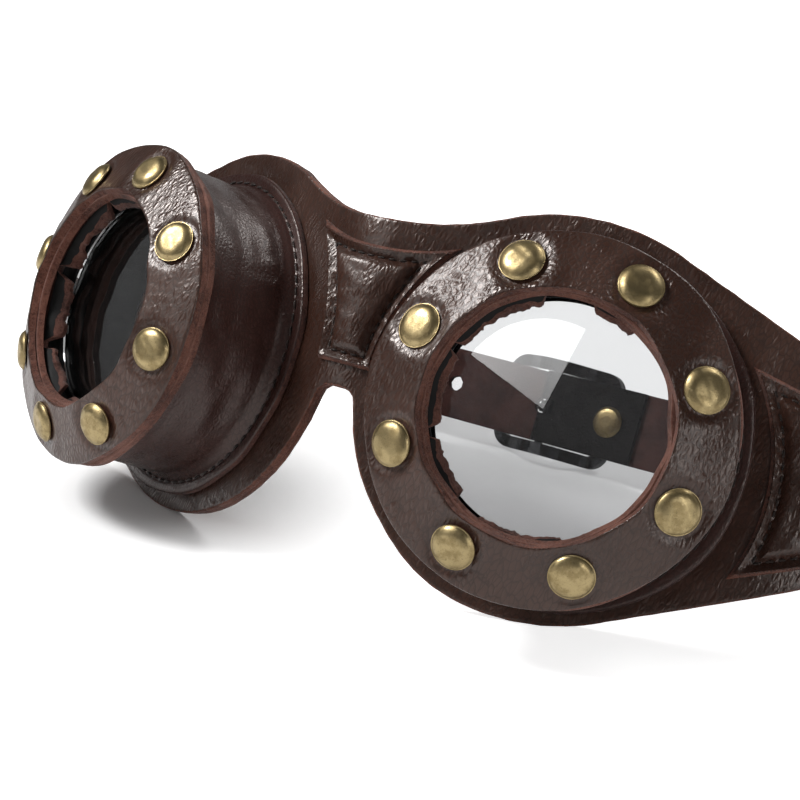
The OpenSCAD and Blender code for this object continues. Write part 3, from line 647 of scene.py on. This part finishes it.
# %% Outline of the mask
LOBE_R, LOBE_X, LOBE_UP, BROW, NOTCH, NOTCH_WIDER = 43.2, 45.5, 1, 33.3, 4.6, 2.9
WING_REACH = 74.4
WING_C = (LOBE_X + WING_REACH, 4.0)
WING_END_R = 12
tilt = math.atan2(WING_C[1] - LOBE_UP, WING_REACH)
taper = math.asin((LOBE_R - WING_END_R) / math.hypot(WING_REACH, WING_C[1] - LOBE_UP))
WING_TIP = WING_C[0] + WING_END_R


def rise(centre, radius, x):
    return np.sqrt(np.clip(radius ** 2 - (x - centre) ** 2, 0, None))


def mask_edge(way_up, middle, turn):
    up = middle - way_up * LOBE_UP
    arc_r = (LOBE_X ** 2 + up ** 2 - LOBE_R ** 2) / (2 * (LOBE_R - up))
    ends = (LOBE_X * arc_r / (arc_r + LOBE_R), LOBE_X + LOBE_R * math.cos(turn),
            WING_C[0] + WING_END_R * math.cos(turn))
    return lambda x: np.select(
        [x < end for end in ends],
        [way_up * (middle + arc_r - rise(0, arc_r, x)),
         LOBE_UP + way_up * rise(LOBE_X, LOBE_R, x),
         LOBE_UP + way_up * (LOBE_R / math.sin(turn) - (x - LOBE_X) / math.tan(turn))],
        WING_C[1] + way_up * rise(WING_C[0], WING_END_R, x))


mask_top = mask_edge(1, BROW, math.pi / 2 - taper + tilt)
mask_low = mask_edge(-1, NOTCH, math.pi / 2 - taper - tilt)
OUTLINE_STEP = 0.7


def mask_outline(seed, shake):
    turn = np.linspace(0, math.pi, 700)
    x = WING_TIP * (1 - np.cos(turn)) / 2
    x = np.concatenate([-x[::-1], x[1:]])
    pull = np.where(x > 0, NOTCH_WIDER * (1 - smooth(12, 36, x)), 0)
    low = np.stack([(x + pull) / math.cos(SPLAY), mask_low(abs(x))], -1)
    top = np.stack([x / math.cos(SPLAY), mask_top(abs(x))], -1)[::-1]
    loop = resample(np.vstack([low, top[1:-1]]), OUTLINE_STEP)
    steps = np.arange(len(loop)) * OUTLINE_STEP
    return loop + inward(loop) * (np.abs(wobble(seed, 9)(steps)) * shake)[:, None]


def ring(centre, radius, count=160):
    a = np.linspace(0, 2 * math.pi, count, endpoint=False)
    return np.stack([centre[0] + radius * np.cos(a), centre[1] + radius * np.sin(a)], -1)


EYE_R = 33
eye_holes = [ring((k * cup_s, 0), EYE_R) for k in (1, -1)]
print("mask outline points:", len(mask_outline(11, 0.2)))

# %% [markdown]
# The face leather lies in soft waves, tightest round the cups, where the flange pulls on it,
# and over the nose, where it bends. The lining under it is raw hide with its own cut line.
# Both rest on the table, so no point of theirs may lie under it.

# %% Mask leather and lining
waves = wobble(21, 26)
crumple = wobble(22, 6)
MASK_T, LINING_T, FLANGE_R = 1.4, 1.2, 38.9


def mask_face(s, z, d):
    cup = np.hypot(np.abs(s) - cup_s, z)
    puff = 0.22 * ridge(cup, FLANGE_R + 2.6, 1.8) - 0.25 * ridge(cup, FLANGE_R + 0.3, 0.9)
    free = smooth(FLANGE_R - 1, FLANGE_R + 3, cup) * smooth(0, 4, d)
    slack = 0.16 * waves(s, z) * free + 0.06 * crumple(s, z) * free
    return slack + puff * smooth(0, 2, d) - rolled(d)


def flat_at(level):
    return lambda s, z, d: np.full_like(s, level)


def lining_face(s, z, d):
    return np.full_like(s, -MASK_T - 0.05) - rolled(d, 0.25)


def resting(run, z, out):
    points = band_place(run, z, out)
    points[..., 2] = np.maximum(points[..., 2], 0)
    return points


def lining_back(s, z, d):
    cup = np.hypot(np.abs(s) - cup_s, z)
    creased = 0.1 * crumple(s, z) * smooth(0, 3, d) * smooth(34, 37, cup)
    return -MASK_T - LINING_T + creased + rolled(d, 0.3)


mask = leather("mask_leather_cut", mask_outline(11, 0.08), eye_holes, 1.8, mask_face,
               flat_at(-MASK_T), ["brown_leather", "raw_leather", "cut_edge"], ["mask_leather"],
               place=resting, bevel=0.3)
lining = leather("mask_lining_cut", mask_outline(12, 0.14), eye_holes, 2.4, lining_face,
                 lining_back, ["raw_leather", "raw_leather", "cut_edge"], ["mask_lining"],
                 place=resting)
print("mask faces:", len(mask.data.polygons), "lining faces:", len(lining.data.polygons))

# %% [markdown]
# ## Patches
# Each padded patch is sewn down just inside its edge. The seam presses a groove; outside it the
# edge stands up as a lip, and inside it the padding swells. Four sides give the outline, and
# the corners are kept, as scissors leave them.

# %% Padded patches
PATCH_T, CROWN, SEAM_IN, GLUE = 1.5, 1.15, 2.45, 0.04
bridge_r = FLANGE_R + 6.8
BRIDGE_LOW, BRIDGE_TALL, BRIDGE_SHIFT, BRIDGE_SAG = 0.4, 30.4, 1.8, 3.8
side_rear_x = WING_C[0] - 7
side_front_r = FLANGE_R + 4.3
SIDE_LOW, SIDE_HIGH, SIDE_DROP = -22.7, 38.6, 4.5


def bridge_point(p, q):
    z = BRIDGE_LOW + BRIDGE_TALL * q
    half = cup_s - np.sqrt(bridge_r ** 2 - z * z)
    sag = BRIDGE_SAG * q * 4 * p * (1 - p)
    return np.stack([BRIDGE_SHIFT + half * (2 * p - 1), z - sag], -1)


def side_point(p, q):
    a = np.radians((SIDE_HIGH - SIDE_LOW) * q + SIDE_LOW)
    near = np.stack([cup_s + side_front_r * np.cos(a), side_front_r * np.sin(a) - SIDE_DROP], -1)
    x = np.array([side_rear_x])
    low, high = float(mask_low(x)[0]) + 4.2, float(mask_top(x)[0]) - 5
    rear = np.stack([np.full_like(a, side_rear_x / math.cos(SPLAY)), low + (high - low) * q], -1)
    return near + (rear - near) * np.asarray(p)[..., None]


def four_sides(point, count=60):
    t = np.linspace(0, 1, count, endpoint=False)
    zero, one = np.zeros(count), np.ones(count)
    return np.vstack([point(t, zero), point(one, t), point(1 - t, one), point(zero, 1 - t)])


def patch_face(s, z, d):
    pad = 0.75 * smooth(2.5, 4.4, d) + 0.25 * smooth(4, 8, d)
    level = PATCH_T + CROWN * pad - ridge(d, SEAM_IN, 0.75) + 0.4 * ridge(d, 1.0, 0.6)
    return level + 0.12 * crumple(s * 1.1, z) * smooth(1, 5, d) - 0.9 * smooth(0.75, 0, d)


def inset_line(outline, inset):
    loop = resample(outline, 0.5)
    line = loop + inward(loop) * inset
    return line[from_cut(line, [loop]) > inset * 0.93]


def sewn_patch(name, outline, node):
    piece = leather(name, outline, [], 0.9, patch_face, flat_at(GLUE),
                    ["brown_leather", "brown_leather", "cut_edge"], [node], bevel=0.6)
    line = inset_line(outline, SEAM_IN)
    seam(name.replace("patch", "seam"), line, PATCH_T - 0.62, band_place, pitch=2.5)
    return piece


bridge = sewn_patch("bridge_patch_sewn", four_sides(bridge_point), "bridge_patch")
for side, k in SIDES.items():
    shape = four_sides(side_point) * [k, 1]
    sewn_patch(f"side_patch_sewn_{side}", shape[::k], f"side_patch_{side}")
print("bridge patch, mm:", [round(1000 * v, 1) for v in bridge.dimensions])

# %% [markdown]
# ## Cups
# A cup is turned like a pot, but by hand: its profile changes a little as it goes round. Each
# profile is a closed loop of points in the plane of radius and height, and the rings that the
# loops make are joined into one skin.

# %% Turn a cup piece
BEZEL_R, HOLE_R, CUP_DEPTH, BEZEL_RISE = 37.5, 25.4, 27.8, 5.9
BEZEL_W = BEZEL_R - HOLE_R
SLOPE = math.atan2(BEZEL_RISE, BEZEL_W)
ROUND = 288
angles = np.linspace(0, 2 * math.pi, ROUND, endpoint=False)


def face_h(r):
    return CUP_DEPTH + (BEZEL_R - r) * math.tan(SLOPE)


def under_face(r, depth):
    return face_h(r) - depth / math.cos(SLOPE)


def turned(name, side, radius, height, finish, replaces, kinds, sharp=50, slot=None):
    a = angles[:, None]
    points = cup_place(side, radius * np.cos(a), radius * np.sin(a), height)
    faces = round_grid(*radius.shape)
    return new_piece(name, points.reshape(-1, 3), faces, finish, slot, replaces=replaces,
                     kinds=np.tile(np.asarray(kinds), len(radius)), sharp=sharp)


RIVET_R, RIVETS = 31.2, 8
RIVET_TURN = {"right": math.radians(24.9), "left": math.radians(30.4)}


def rivet_turns(side):
    return [RIVET_TURN[side] + i * 2 * math.pi / RIVETS for i in range(RIVETS)]


def near_rivets(side, a, r):
    away = [np.hypot(r * np.cos(a) - RIVET_R * math.cos(turn),
                     r * np.sin(a) - RIVET_R * math.sin(turn)) for turn in rivet_turns(side)]
    return np.minimum.reduce(away)


print("bezel slope, degrees:", round(math.degrees(SLOPE), 1))

# %% [markdown]
# A rivet's cap is a low pressed dome with a rolled rim. One profile is turned for each rivet of
# a cup, set square on the sloping bezel, and all eight are one piece.

# %% Rivet caps
CAP_R, CAP_H, CAP_STEPS = 4.7, 1.7, 48


def rivet_caps(side):
    inner = np.linspace(0.02, 0.9, 16)
    outer = np.sin(np.linspace(math.radians(66), math.pi / 2, 8))
    share = np.concatenate([inner, outer])
    dome = CAP_H * (1 - share ** 4) ** 0.7
    radius = np.concatenate([share * CAP_R, [CAP_R, CAP_R - 0.25]])
    height = np.concatenate([np.maximum(dome, 0.4), [0.1, 0.0]])
    around = np.linspace(0, 2 * math.pi, CAP_STEPS, endpoint=False)[:, None]
    points, faces = [], []
    rows = len(radius)
    u, v = radius * np.cos(around), radius * np.sin(around)
    for i, turn in enumerate(rivet_turns(side)):
        up = height + 0.03 * wobble(90 + i, 3)(u, v) * (height > 0.5)
        out_by = RIVET_R + u * math.cos(SLOPE) + up * math.sin(SLOPE)
        h = face_h(RIVET_R) - u * math.sin(SLOPE) + up * math.cos(SLOPE)
        x = out_by * math.cos(turn) - v * math.sin(turn)
        y = out_by * math.sin(turn) + v * math.cos(turn)
        base = len(points) * CAP_STEPS * rows
        points.append(cup_place(side, x, y, h).reshape(-1, 3))
        for j in range(CAP_STEPS):
            j2 = (j + 1) % CAP_STEPS
            faces += [(base + j * rows + k, base + j * rows + k + 1, base + j2 * rows + k + 1,
                       base + j2 * rows + k) for k in range(rows - 1)]
        faces.append([base + j * rows for j in range(CAP_STEPS)])
        faces.append([base + j * rows + rows - 1 for j in range(CAP_STEPS)][::-1])
    return new_piece(f"rivet_caps_{side}", np.vstack(points), faces, "antique_brass",
                     replaces=[f"bezel_rivets_{side}"])


for side in SIDES:
    rivet_caps(side)
print("rivet caps:", 2 * RIVETS)

# %% [markdown]
# The bezel is two leathers glued together. The front one is coated; it swells a little round
# each rivet and its outline was cut by hand. The back one shows only its raw edge, so the two
# leave the double reddish line that runs round the cup. Both flare inward to the hole, and
# their cuts stand between upright and square to the sloping face.

# %% Bezel leathers
CUT_LEAN = 0.45


def bezel_layer(name, side, seed, upper, lower, top_bumps, finish, kinds_of, node, out_by=0.0,
                hole_in=0.0, flare=0.35):
    a = angles[:, None]
    edge = BEZEL_R + out_by + 0.28 * wobble(seed, 30)(BEZEL_R * np.cos(a), BEZEL_R * np.sin(a))
    hole = HOLE_R + 0.22 * wobble(seed + 1, 11)(HOLE_R * np.cos(a), HOLE_R * np.sin(a)) - hole_in
    edge_hair = 0.10 * wobble(seed + 2, 1.6)(BEZEL_R * a, 0)
    hole_hair = 0.12 * wobble(seed + 3, 1.3)(HOLE_R * a, 0)
    across = np.concatenate([[0, 0.008, 0.025, 0.06], np.linspace(0.1, 0.9, 26),
                             [0.94, 0.975, 0.992, 1]])
    r_top = edge + (hole - edge) * across
    from_edge = np.minimum(across * BEZEL_W, (1 - across) * BEZEL_W)
    sag = 0.22 * wobble(seed + 4, 34)(r_top * np.cos(a), r_top * np.sin(a))
    normal_top = -upper - rolled(from_edge, 0.3) + sag * smooth(0, 5, across * BEZEL_W)
    if top_bumps:
        d = near_rivets(side, a, r_top)
        normal_top = normal_top + 0.16 * ridge(d, 7.2, 1.9) - 0.3 * ridge(d, 4.8, 0.9)
    walls = np.linspace(0, 1, 5)[1:-1]
    r_hole = hole - flare * walls + hole_hair * np.sin(walls * math.pi)
    n_hole = np.tile(-upper - (lower - upper) * walls - 0.3 * (1 - walls), (ROUND, 1))
    back = np.linspace(1, 0, 9)
    r_low = edge + (hole - flare - edge) * back
    n_low = np.full_like(r_low, -lower)
    r_edge = edge + edge_hair * np.sin(walls[::-1] * math.pi)
    n_edge = np.tile(-lower + (lower - upper) * walls - 0.3 * walls, (ROUND, 1))
    r = np.hstack([r_top, r_hole, r_low, r_edge])
    n = np.hstack([normal_top, n_hole, n_low, n_edge])
    height = face_h(r) + n / math.cos(SLOPE)
    radius = r + n * math.sin(SLOPE) * CUT_LEAN
    face, cut, rear = kinds_of
    kinds = [face] * (len(across) - 1) + [cut] * 4 + [rear] * 8 + [cut] * 4
    return turned(name, side, radius, height, finish, [node], kinds)


for number, side in enumerate(SIDES):
    layer = bezel_layer(f"bezel_face_{side}", side, 40 + 20 * number, 0, 1.7, True,
                        ["brown_leather", "cut_edge"], (0, 1, 1), f"bezel_front_{side}")
    bezel_layer(f"bezel_under_{side}", side, 50 + 20 * number, 1.78, 3.4, False,
                ["raw_leather", "cut_edge"], (0, 1, 0), f"bezel_back_{side}", out_by=0.15,
                hole_in=0.6, flare=0.45)
print("bezel points each:", len(layer.data.vertices))

# %% [markdown]
# The cup wall is one leather: a stitched flange, a bend, the tube, and a turned-in top whose
# free edge was torn, not cut. That torn edge hangs under the bezel and shows in the hole. The
# dark gaps over it are painted shade: the strip's upper face near the fold and the tube's inside
# take the near-black plastic finish. Each cup is torn in its own way: a flap has a start and a
# stop in degrees and the radius that it reaches in to.

# %% Cup walls with their torn edge
WAIST_R, WALL_TOP_R, WALL_T, TURN_DEPTH, TURN_LOW = 34.5, 35.7, 1.5, 3.6, 5.1
BEND_R, BEND_AT, SEAM_R, SEAM_UP = 3.4, (37.9, 5.0), 36.35, 2.0
TURNED_R, TORN_R, TORN_T, TORN_DEPTH = 25.1, 24.95, 0.95, 4.0
TEARS = {
    "right": [(60, 83, 22.4), (107, 156, 22.1), (160, 199, 21.6), (204, 236, 22.0),
              (250, 292, 23.2), (300, 312, 23.6), (338, 350, 23.5)],
    "left": [(16, 40, 23.4), (75, 112, 22.5), (116, 165, 21.9), (171, 208, 21.7),
             (215, 250, 22.1), (262, 290, 22.9), (330, 345, 23.5)],
}


def torn_radius(side, a):
    k = SIDES[side]
    deg = np.degrees(a)
    r = TORN_R + 0.12 * np.sin(5 * a + k)
    for start, stop, reach in TEARS[side]:
        flap = smooth(start - 1.5, start + 2.5, deg) * smooth(stop + 2.5, stop - 1.5, deg)
        r = r + (reach - r) * flap
    nick = wobble(70 + k, 2.6)(24 * a, 0)
    return r + 0.16 * nick + 0.14 * np.abs(wobble(72 + k, 0.9)(24 * a, 0))


def waist(h):
    return WAIST_R + (WALL_TOP_R - WAIST_R) * max(0.0, (h - 8) / (CUP_DEPTH - 8)) ** 2


def cup_wall(side):
    a = angles[:, None]
    k = SIDES[side]
    torn = torn_radius(side, a)
    droop = 0.5 + 0.5 * np.clip(wobble(74 + k, 14)(24 * a, 0), -1, 1)
    top_h = under_face(WALL_TOP_R, TURN_DEPTH)
    rows, kinds = [], []

    def put(r, h, kind):
        rows.append((r + 0 * a, h + 0 * a))
        kinds.append(kind)

    lip = 0.25 * wobble(76 + k, 26)(FLANGE_R * np.cos(a), FLANGE_R * np.sin(a))
    put(FLANGE_R + lip, 0.15, 1)
    put(FLANGE_R + lip + 0.1 * wobble(77 + k, 1.5)(FLANGE_R * a, 0), 0.8, 1)
    put(FLANGE_R + lip, 1.35, 0)
    put(FLANGE_R + lip - 0.25, 1.62, 0)
    for turn in np.radians(np.linspace(268, 182, 26)):
        r, h = BEND_AT[0] + BEND_R * math.cos(turn), BEND_AT[1] + BEND_R * math.sin(turn)
        press = 0.42 * ridge(r, SEAM_R, 0.55)
        put(r + press * math.cos(turn), h - press * 0.9, 0)
    for h in np.linspace(5.6, top_h - 0.7, 40):
        dent = 0.28 * wobble(78 + k, 24)(WAIST_R * np.cos(a) + h, WAIST_R * np.sin(a) - h)
        pleat = 0.10 * wobble(80 + k, 4.5)(WAIST_R * a, h * 0.25) * math.exp(-(h - 5) / 5)
        roll = 0.12 * wobble(82 + k, 9)(WAIST_R * a * 0.4, h * 1.6)
        free = float(smooth(5, 9, h) * smooth(top_h, top_h - 4, h))
        put(waist(h) + (dent + roll) * free + pleat, h, 0)
    put(WALL_TOP_R - 0.2, top_h - 0.15, 0)
    for r in np.linspace(WALL_TOP_R - 1.2, TURNED_R + 0.1, 8):
        put(r, under_face(r, TURN_DEPTH), 0)
    torn_h = face_h(TURNED_R) - TORN_DEPTH
    hang = (TURNED_R - torn) * (0.5 + 0.6 * droop)
    gap = 0.66 + 0.12 * np.clip(wobble(86 + k, 12)(24 * a, 0), -1, 1)
    # Rows of the strip nearest the fold take the near-black plastic finish: painted shade in the
    # gap under the bezel.
    for t in (0.3, 0.65, 1.0, 1.06, 1.25, 1.5):
        t = np.minimum(t * gap, 1.0) if t < 1.4 else 1.0
        r = TURNED_R + (torn - TURNED_R) * t
        put(r, torn_h - hang * t ** 1.5, 2 if np.max(t) < 0.8 else 1)
    end = torn_h - hang
    for t in (0.33, 0.66):
        put(torn + 0.12 * wobble(84 + k, 1.1)(24 * a, t * 3), end - TORN_T * t, 1)
    put(torn + 0.1, end - TORN_T, 1)
    put(TURNED_R, torn_h - 1.2, 1)
    for r in np.linspace(TURNED_R + 0.5, WALL_TOP_R - 2, 6):
        put(r, under_face(r, TURN_LOW), 1)
    # The tube's inside takes the near-black plastic finish: painted shade inside the cup.
    for h in np.linspace(top_h - 2.2, 1.5, 14):
        put(waist(h) - WALL_T, h, 2)
    put(WAIST_R - WALL_T, 0.15, 1)
    radius = np.hstack([r for r, _ in rows])
    height = np.hstack([h for _, h in rows])
    return turned(f"cup_tube_{side}", side, radius, height,
                  ["tube_leather", "torn_edge", "black_plastic"], [f"cup_wall_{side}"], kinds,
                  slot="brown_leather")


def on_flange(side):
    return lambda x, y, lift: cup_place(side, x, y, SEAM_UP + lift)


for side in SIDES:
    wall = cup_wall(side)
    seam(f"cup_seam_{side}", ring((0, 0), SEAM_R, 200), -0.12, on_flange(side), pitch=3.05,
         lean=0.25)
print("cup wall points each:", len(wall.data.vertices))

# %% [markdown]
# The holder is a black moulding that keeps the lens: a cone under the bezel, a short sleeve
# and a narrow lip. The lens is ground flat with a small bevel, and a ring behind keeps it in.

# %% Lens holders, lenses and rings
LIP_H, LIP_R, GLASS_R, SLEEVE_R = 25.5, 24.2, 24.7, 25.3


def loop_piece(name, side, profile, finish, node):
    p = np.array(profile, float)
    radius, height = np.tile(p[:, 0], (ROUND, 1)), np.tile(p[:, 1], (ROUND, 1))
    return turned(name, side, radius, height, finish, [node], np.zeros(len(p)), 20)


def under_bezel(r, depth):
    return (r, under_face(r, depth))


for side in SIDES:
    loop_piece(f"lens_cell_{side}", side, [
        under_bezel(33.4, 5.25), under_bezel(26.2, 5.25), under_bezel(25.7, 5.3), (SLEEVE_R, 28.0),
        (SLEEVE_R, 25.9), (SLEEVE_R - 0.3, LIP_H), (LIP_R + 0.15, LIP_H), (LIP_R, LIP_H - 0.15),
        (LIP_R, LIP_H - 0.7), (GLASS_R + 0.06, LIP_H - 0.75), (GLASS_R + 0.06, 20.9),
        (SLEEVE_R + 0.3, 20.9), (SLEEVE_R + 0.4, 27.2), under_bezel(26.4, 6.4),
        under_bezel(33.4, 6.4)], "black_plastic", f"lens_holder_{side}")
    loop_piece(f"lens_retainer_{side}", side, [
        (GLASS_R, 22.3), (24.1, 22.3), (23.9, 22.1), (23.9, 21.1), (24.1, 20.9), (GLASS_R, 20.9)],
        "black_plastic", f"lens_ring_{side}")
    disc = [(GLASS_R, 24.3), (GLASS_R - 0.25, 24.55), (0.02, 24.55), (0.02, 22.4),
            (GLASS_R - 0.25, 22.4), (GLASS_R, 22.65)]
    loop_piece(f"lens_glass_{side}", side, disc, "smoke_lens", f"lens_{side}")
print("glass diameter, mm:", 2 * GLASS_R)

# %% [markdown]
# ## Head strap
# The strap starts under each wing's end and its halves meet at the buckle. The tongue climbs
# on the frame, runs over the bar and the tab, and comes down again beyond them. The same
# leather tool cuts both halves. The hole in use is worn wider by the prong.

# %% Straps
STRAP_UP, STRAP_HALF, STRAP_T, STRAP_OUT = 6.4, 9.0, 1.8, -BACKING
BAR_X, NEAR_END, TONGUE_RUN, TIP_RUN = 3.2, 8.3, 62, 8
RIVET_HOLE, RIVET_APART, TAB_HOLE_X = 1.55, 4.2, 18.4
HOLE_X, HOLE_PITCH, HOLE, WORN_HOLE = 0.4, 25, 2.0, 2.5
KNOTS = [(-26.8, 0), (2.2, 3.7), (25.6, 3.7), (36.7, 1.9), (66.2, 1.9)]


def tongue_rise(x):
    level = np.zeros_like(x)
    for (x1, h1), (x2, h2) in zip(KNOTS, KNOTS[1:]):
        t = np.clip((x - x1) / (x2 - x1), 0, 1)
        level = np.where(x > x1, h1 + (h2 - h1) * (1 - np.cos(np.pi * t)) / 2, level)
    return level


def strap_level(s):
    return STRAP_OUT + np.where(s < 0, tongue_rise(-s - half_s), 0)


def strap_face(s, z, d):
    crease = -0.16 * ridge(d, 1.7, 0.35) + 0.05 * wobble(31, 12)(s, z * 3) * smooth(0, 2, d)
    return strap_level(s) + crease - rolled(d, 0.4)


def strap_back(s, z, d):
    return strap_level(s) - STRAP_T + rolled(d, 0.25)


def strap_outline(start, stop, tip):
    low, high = STRAP_UP - STRAP_HALF, STRAP_UP + STRAP_HALF
    if not tip:
        return np.array([(start, low), (stop, low), (stop, high), (start, high)])
    bend = np.radians(np.linspace(0, 90, 12))
    top = [(stop + TIP_RUN * (1 - math.sin(b)),
            STRAP_UP + STRAP_HALF * math.cos(b) ** 0.8 * 0.92 + 0.7) for b in bend]
    low_side = [(p[0], 2 * STRAP_UP - p[1]) for p in top[::-1]]
    return np.array([(start, low), (start, high)] + top + low_side)


lap_start = WING_TIP / math.cos(SPLAY) - 16
rivet_run = (wing_s + lap_s) / 2
heights = (STRAP_UP + RIVET_APART, STRAP_UP - RIVET_APART)
near_holes = [ring((rivet_run, z), RIVET_HOLE, 20) for z in heights]
far_holes = [ring((-rivet_run, z), RIVET_HOLE, 20) for z in heights]
punched = [ring((-half_s - (HOLE_X + HOLE_PITCH * i), STRAP_UP), HOLE if i else WORN_HOLE, 28)
           for i in (-2, -1, 0, 1, 2)]
tab_hole = ring((half_s - (BAR_X + TAB_HOLE_X), STRAP_UP), RIVET_HOLE, 20)
looks = ["strap_leather", "strap_inside", "dark_edge"]
STRAP_STEP = 1.6
near = leather("strap_near_cut", strap_outline(lap_start, half_s - NEAR_END, False),
               near_holes + [tab_hole], STRAP_STEP, strap_face, strap_back, looks,
               ["strap_buckle_side"], seed=6)
tongue = leather("strap_tongue_cut", strap_outline(-lap_start, -half_s - BAR_X - TONGUE_RUN, True),
                 far_holes + punched, STRAP_STEP, strap_face, strap_back, looks,
                 ["strap_tongue_side"], seed=7)
print("strap faces:", len(near.data.polygons), "tongue faces:", len(tongue.data.polygons))

# %% [markdown]
# ## Studio
# The photograph was taken on white, from a little above and from the right cup's side. The
# camera stands where the two bezels, which are circles seen as ellipses, say that it stood.

# %% Camera
FOCAL_PIXELS, PHOTO_PIXELS, SENSOR = 2030.34, 800, 36
camera_place = Vector((0.25080, -0.36654, 0.18052))
forward = Vector((-0.54359, 0.77424, -0.32414))
right_way = Vector((0.81014, 0.58496, 0.03860))
up_way = Vector((-0.21949, 0.24161, 0.94523))
camera_data = bpy.data.cameras.new("camera")
camera = new_object("camera", camera_data)
turn = Matrix((right_way, up_way, -forward)).transposed().to_4x4()
camera.matrix_world = Matrix.Translation(camera_place) @ turn
camera_data.sensor_width = SENSOR
camera_data.lens = FOCAL_PIXELS / PHOTO_PIXELS * SENSOR
camera_data.clip_start, camera_data.clip_end = 0.01, 20
bpy.context.scene.camera = camera
print("lens, mm:", round(camera_data.lens, 1))

# %% [markdown]
# The floor is pale and sweeps up behind the goggles. Only the camera and the glass see it
# brightened toward white, and least of all under the far cup, so its shadow stays soft and
# grey there. The same two see a white room, which the leather and the brass don't.

# %% Floor and world
UNDER_FAR_CUP = (-0.052, -0.028, 0)


def seen_white(tree):
    path = add(tree, "ShaderNodeLightPath").outputs
    return math_node(tree, "MAXIMUM", path["Is Camera Ray"], path["Is Transmission Ray"])


floor_mesh = bpy.data.meshes.new("floor")
sweep = [(-3.0, 0.0), (1.2, 0.0), (1.35, 0.02), (1.48, 0.1), (1.56, 0.25), (1.6, 0.5), (1.6, 1.6)]
floor_mesh.from_pydata(
    [(x, y, z) for y, z in sweep for x in (-2.5, 2.5)], [],
    [(2 * i, 2 * i + 1, 2 * i + 3, 2 * i + 2) for i in range(len(sweep) - 1)])
floor = new_object("floor", floor_mesh)
floor_look, t, shader = new_material("floor")
plug(shader, Base_Color=rgb(0.9, 0.9, 0.9), Roughness=0.9, Specular_IOR_Level=0.1,
     Emission_Color=rgb(1, 1, 1))
from_cup = add(t, "ShaderNodeVectorMath", {"operation": "DISTANCE"},
               i0=add(t, "ShaderNodeTexCoord").outputs["Object"], i1=UNDER_FAR_CUP)
lift_up = remap(t, from_cup.outputs["Value"], 0.012, 0.055, high=0.75)
plug(shader, Emission_Strength=math_node(t, "MULTIPLY", seen_white(t), lift_up))
floor_mesh.materials.append(floor_look)

world = bpy.data.worlds.new("studio")
bpy.context.scene.world = world
world.use_nodes = True
t = world.node_tree
mirrored = add(t, "ShaderNodeLightPath").outputs["Is Glossy Ray"]
room = remap(t, mirrored, low=0.22, high=0.04)
plug(t.nodes["Background"], Color=rgb(1, 1, 1),
     Strength=math_node(t, "MAXIMUM", seen_white(t), room))
print("floor, m:", [round(v, 1) for v in floor.dimensions])

# %% [markdown]
# Four soft lamps: a small main one from the upper left, a wide one behind, and two weak ones
# that lift the side and the front.

# %% Lamps
def lamp(name, place, size, watts, size_y=None):
    data = bpy.data.lights.new(name, "AREA")
    data.energy = watts
    data.size = size
    if size_y:
        data.shape = "RECTANGLE"
        data.size_y = size_y
    made = new_object(name, data)
    made.location = place
    made.rotation_euler = (MIDDLE - Vector(place)).to_track_quat("-Z", "Y").to_euler()


MIDDLE = Vector((0, 0, 0.04))
lamp("main_softbox", (-0.52, -0.41, 0.79), 0.27, 8.6)
lamp("back_softbox", (0.25, 0.6, 0.8), 0.5, 3.2, 0.3)
lamp("side_strip", (0.95, -0.42, 0.3), 0.24, 1.5, 0.5)
lamp("front_softbox", (-0.50, -0.99, 0.5), 0.30, 0.75, 0.34)

# %% [markdown]
# A flat lens mirrors a quarter-round panel that stands behind the camera. The panel is a small
# shining card that only mirrors see, brightest at its round edge.

# %% Mirrored panel
PANEL_R, PANEL_FROM, PANEL_TO = 0.0445, 154, 73
apex = Vector((0.1704, -0.5676, 0.3109))
facing = Vector((0.1788, -0.8694, 0.4607))
level = Vector((0, 0, 1)).cross(facing).normalized()
steep = facing.cross(level)
rim = [apex + PANEL_R * (level * math.cos(a) + steep * math.sin(a))
       for a in np.radians(np.linspace(PANEL_FROM, PANEL_TO, 25))]
card_mesh = bpy.data.meshes.new("panel")
card_mesh.from_pydata([tuple(p) for p in [apex] + rim], [],
                      [(0, i + 1, i + 2) for i in range(len(rim) - 1)])
card_mesh.uv_layers.new(name="from_apex")
for loop in card_mesh.loops:
    card_mesh.uv_layers[0].data[loop.index].uv = (1.0 if loop.vertex_index else 0.0, 0.0)
card = new_object("panel", card_mesh)
card.visible_camera = card.visible_diffuse = card.visible_transmission = False
card.visible_shadow = False
glow, t, shader = new_material("panel_glow")
t.nodes.remove(shader)
away = add(t, "ShaderNodeSeparateXYZ", i0=add(t, "ShaderNodeTexCoord").outputs["UV"]).outputs[0]
shine = add(t, "ShaderNodeEmission", Strength=remap(t, away, 0.0, 0.9, 5.4, 9.5))
plug(t.nodes["Material Output"], Surface=shine.outputs[0])
card_mesh.materials.append(glow)
print("panel corners:", len(rim) + 1)

# %% [markdown]
# The Standard view shows the colours as the materials give them.

# %% Colours as written
bpy.context.scene.view_settings.view_transform = "Standard"
print("view:", bpy.context.scene.view_settings.view_transform)
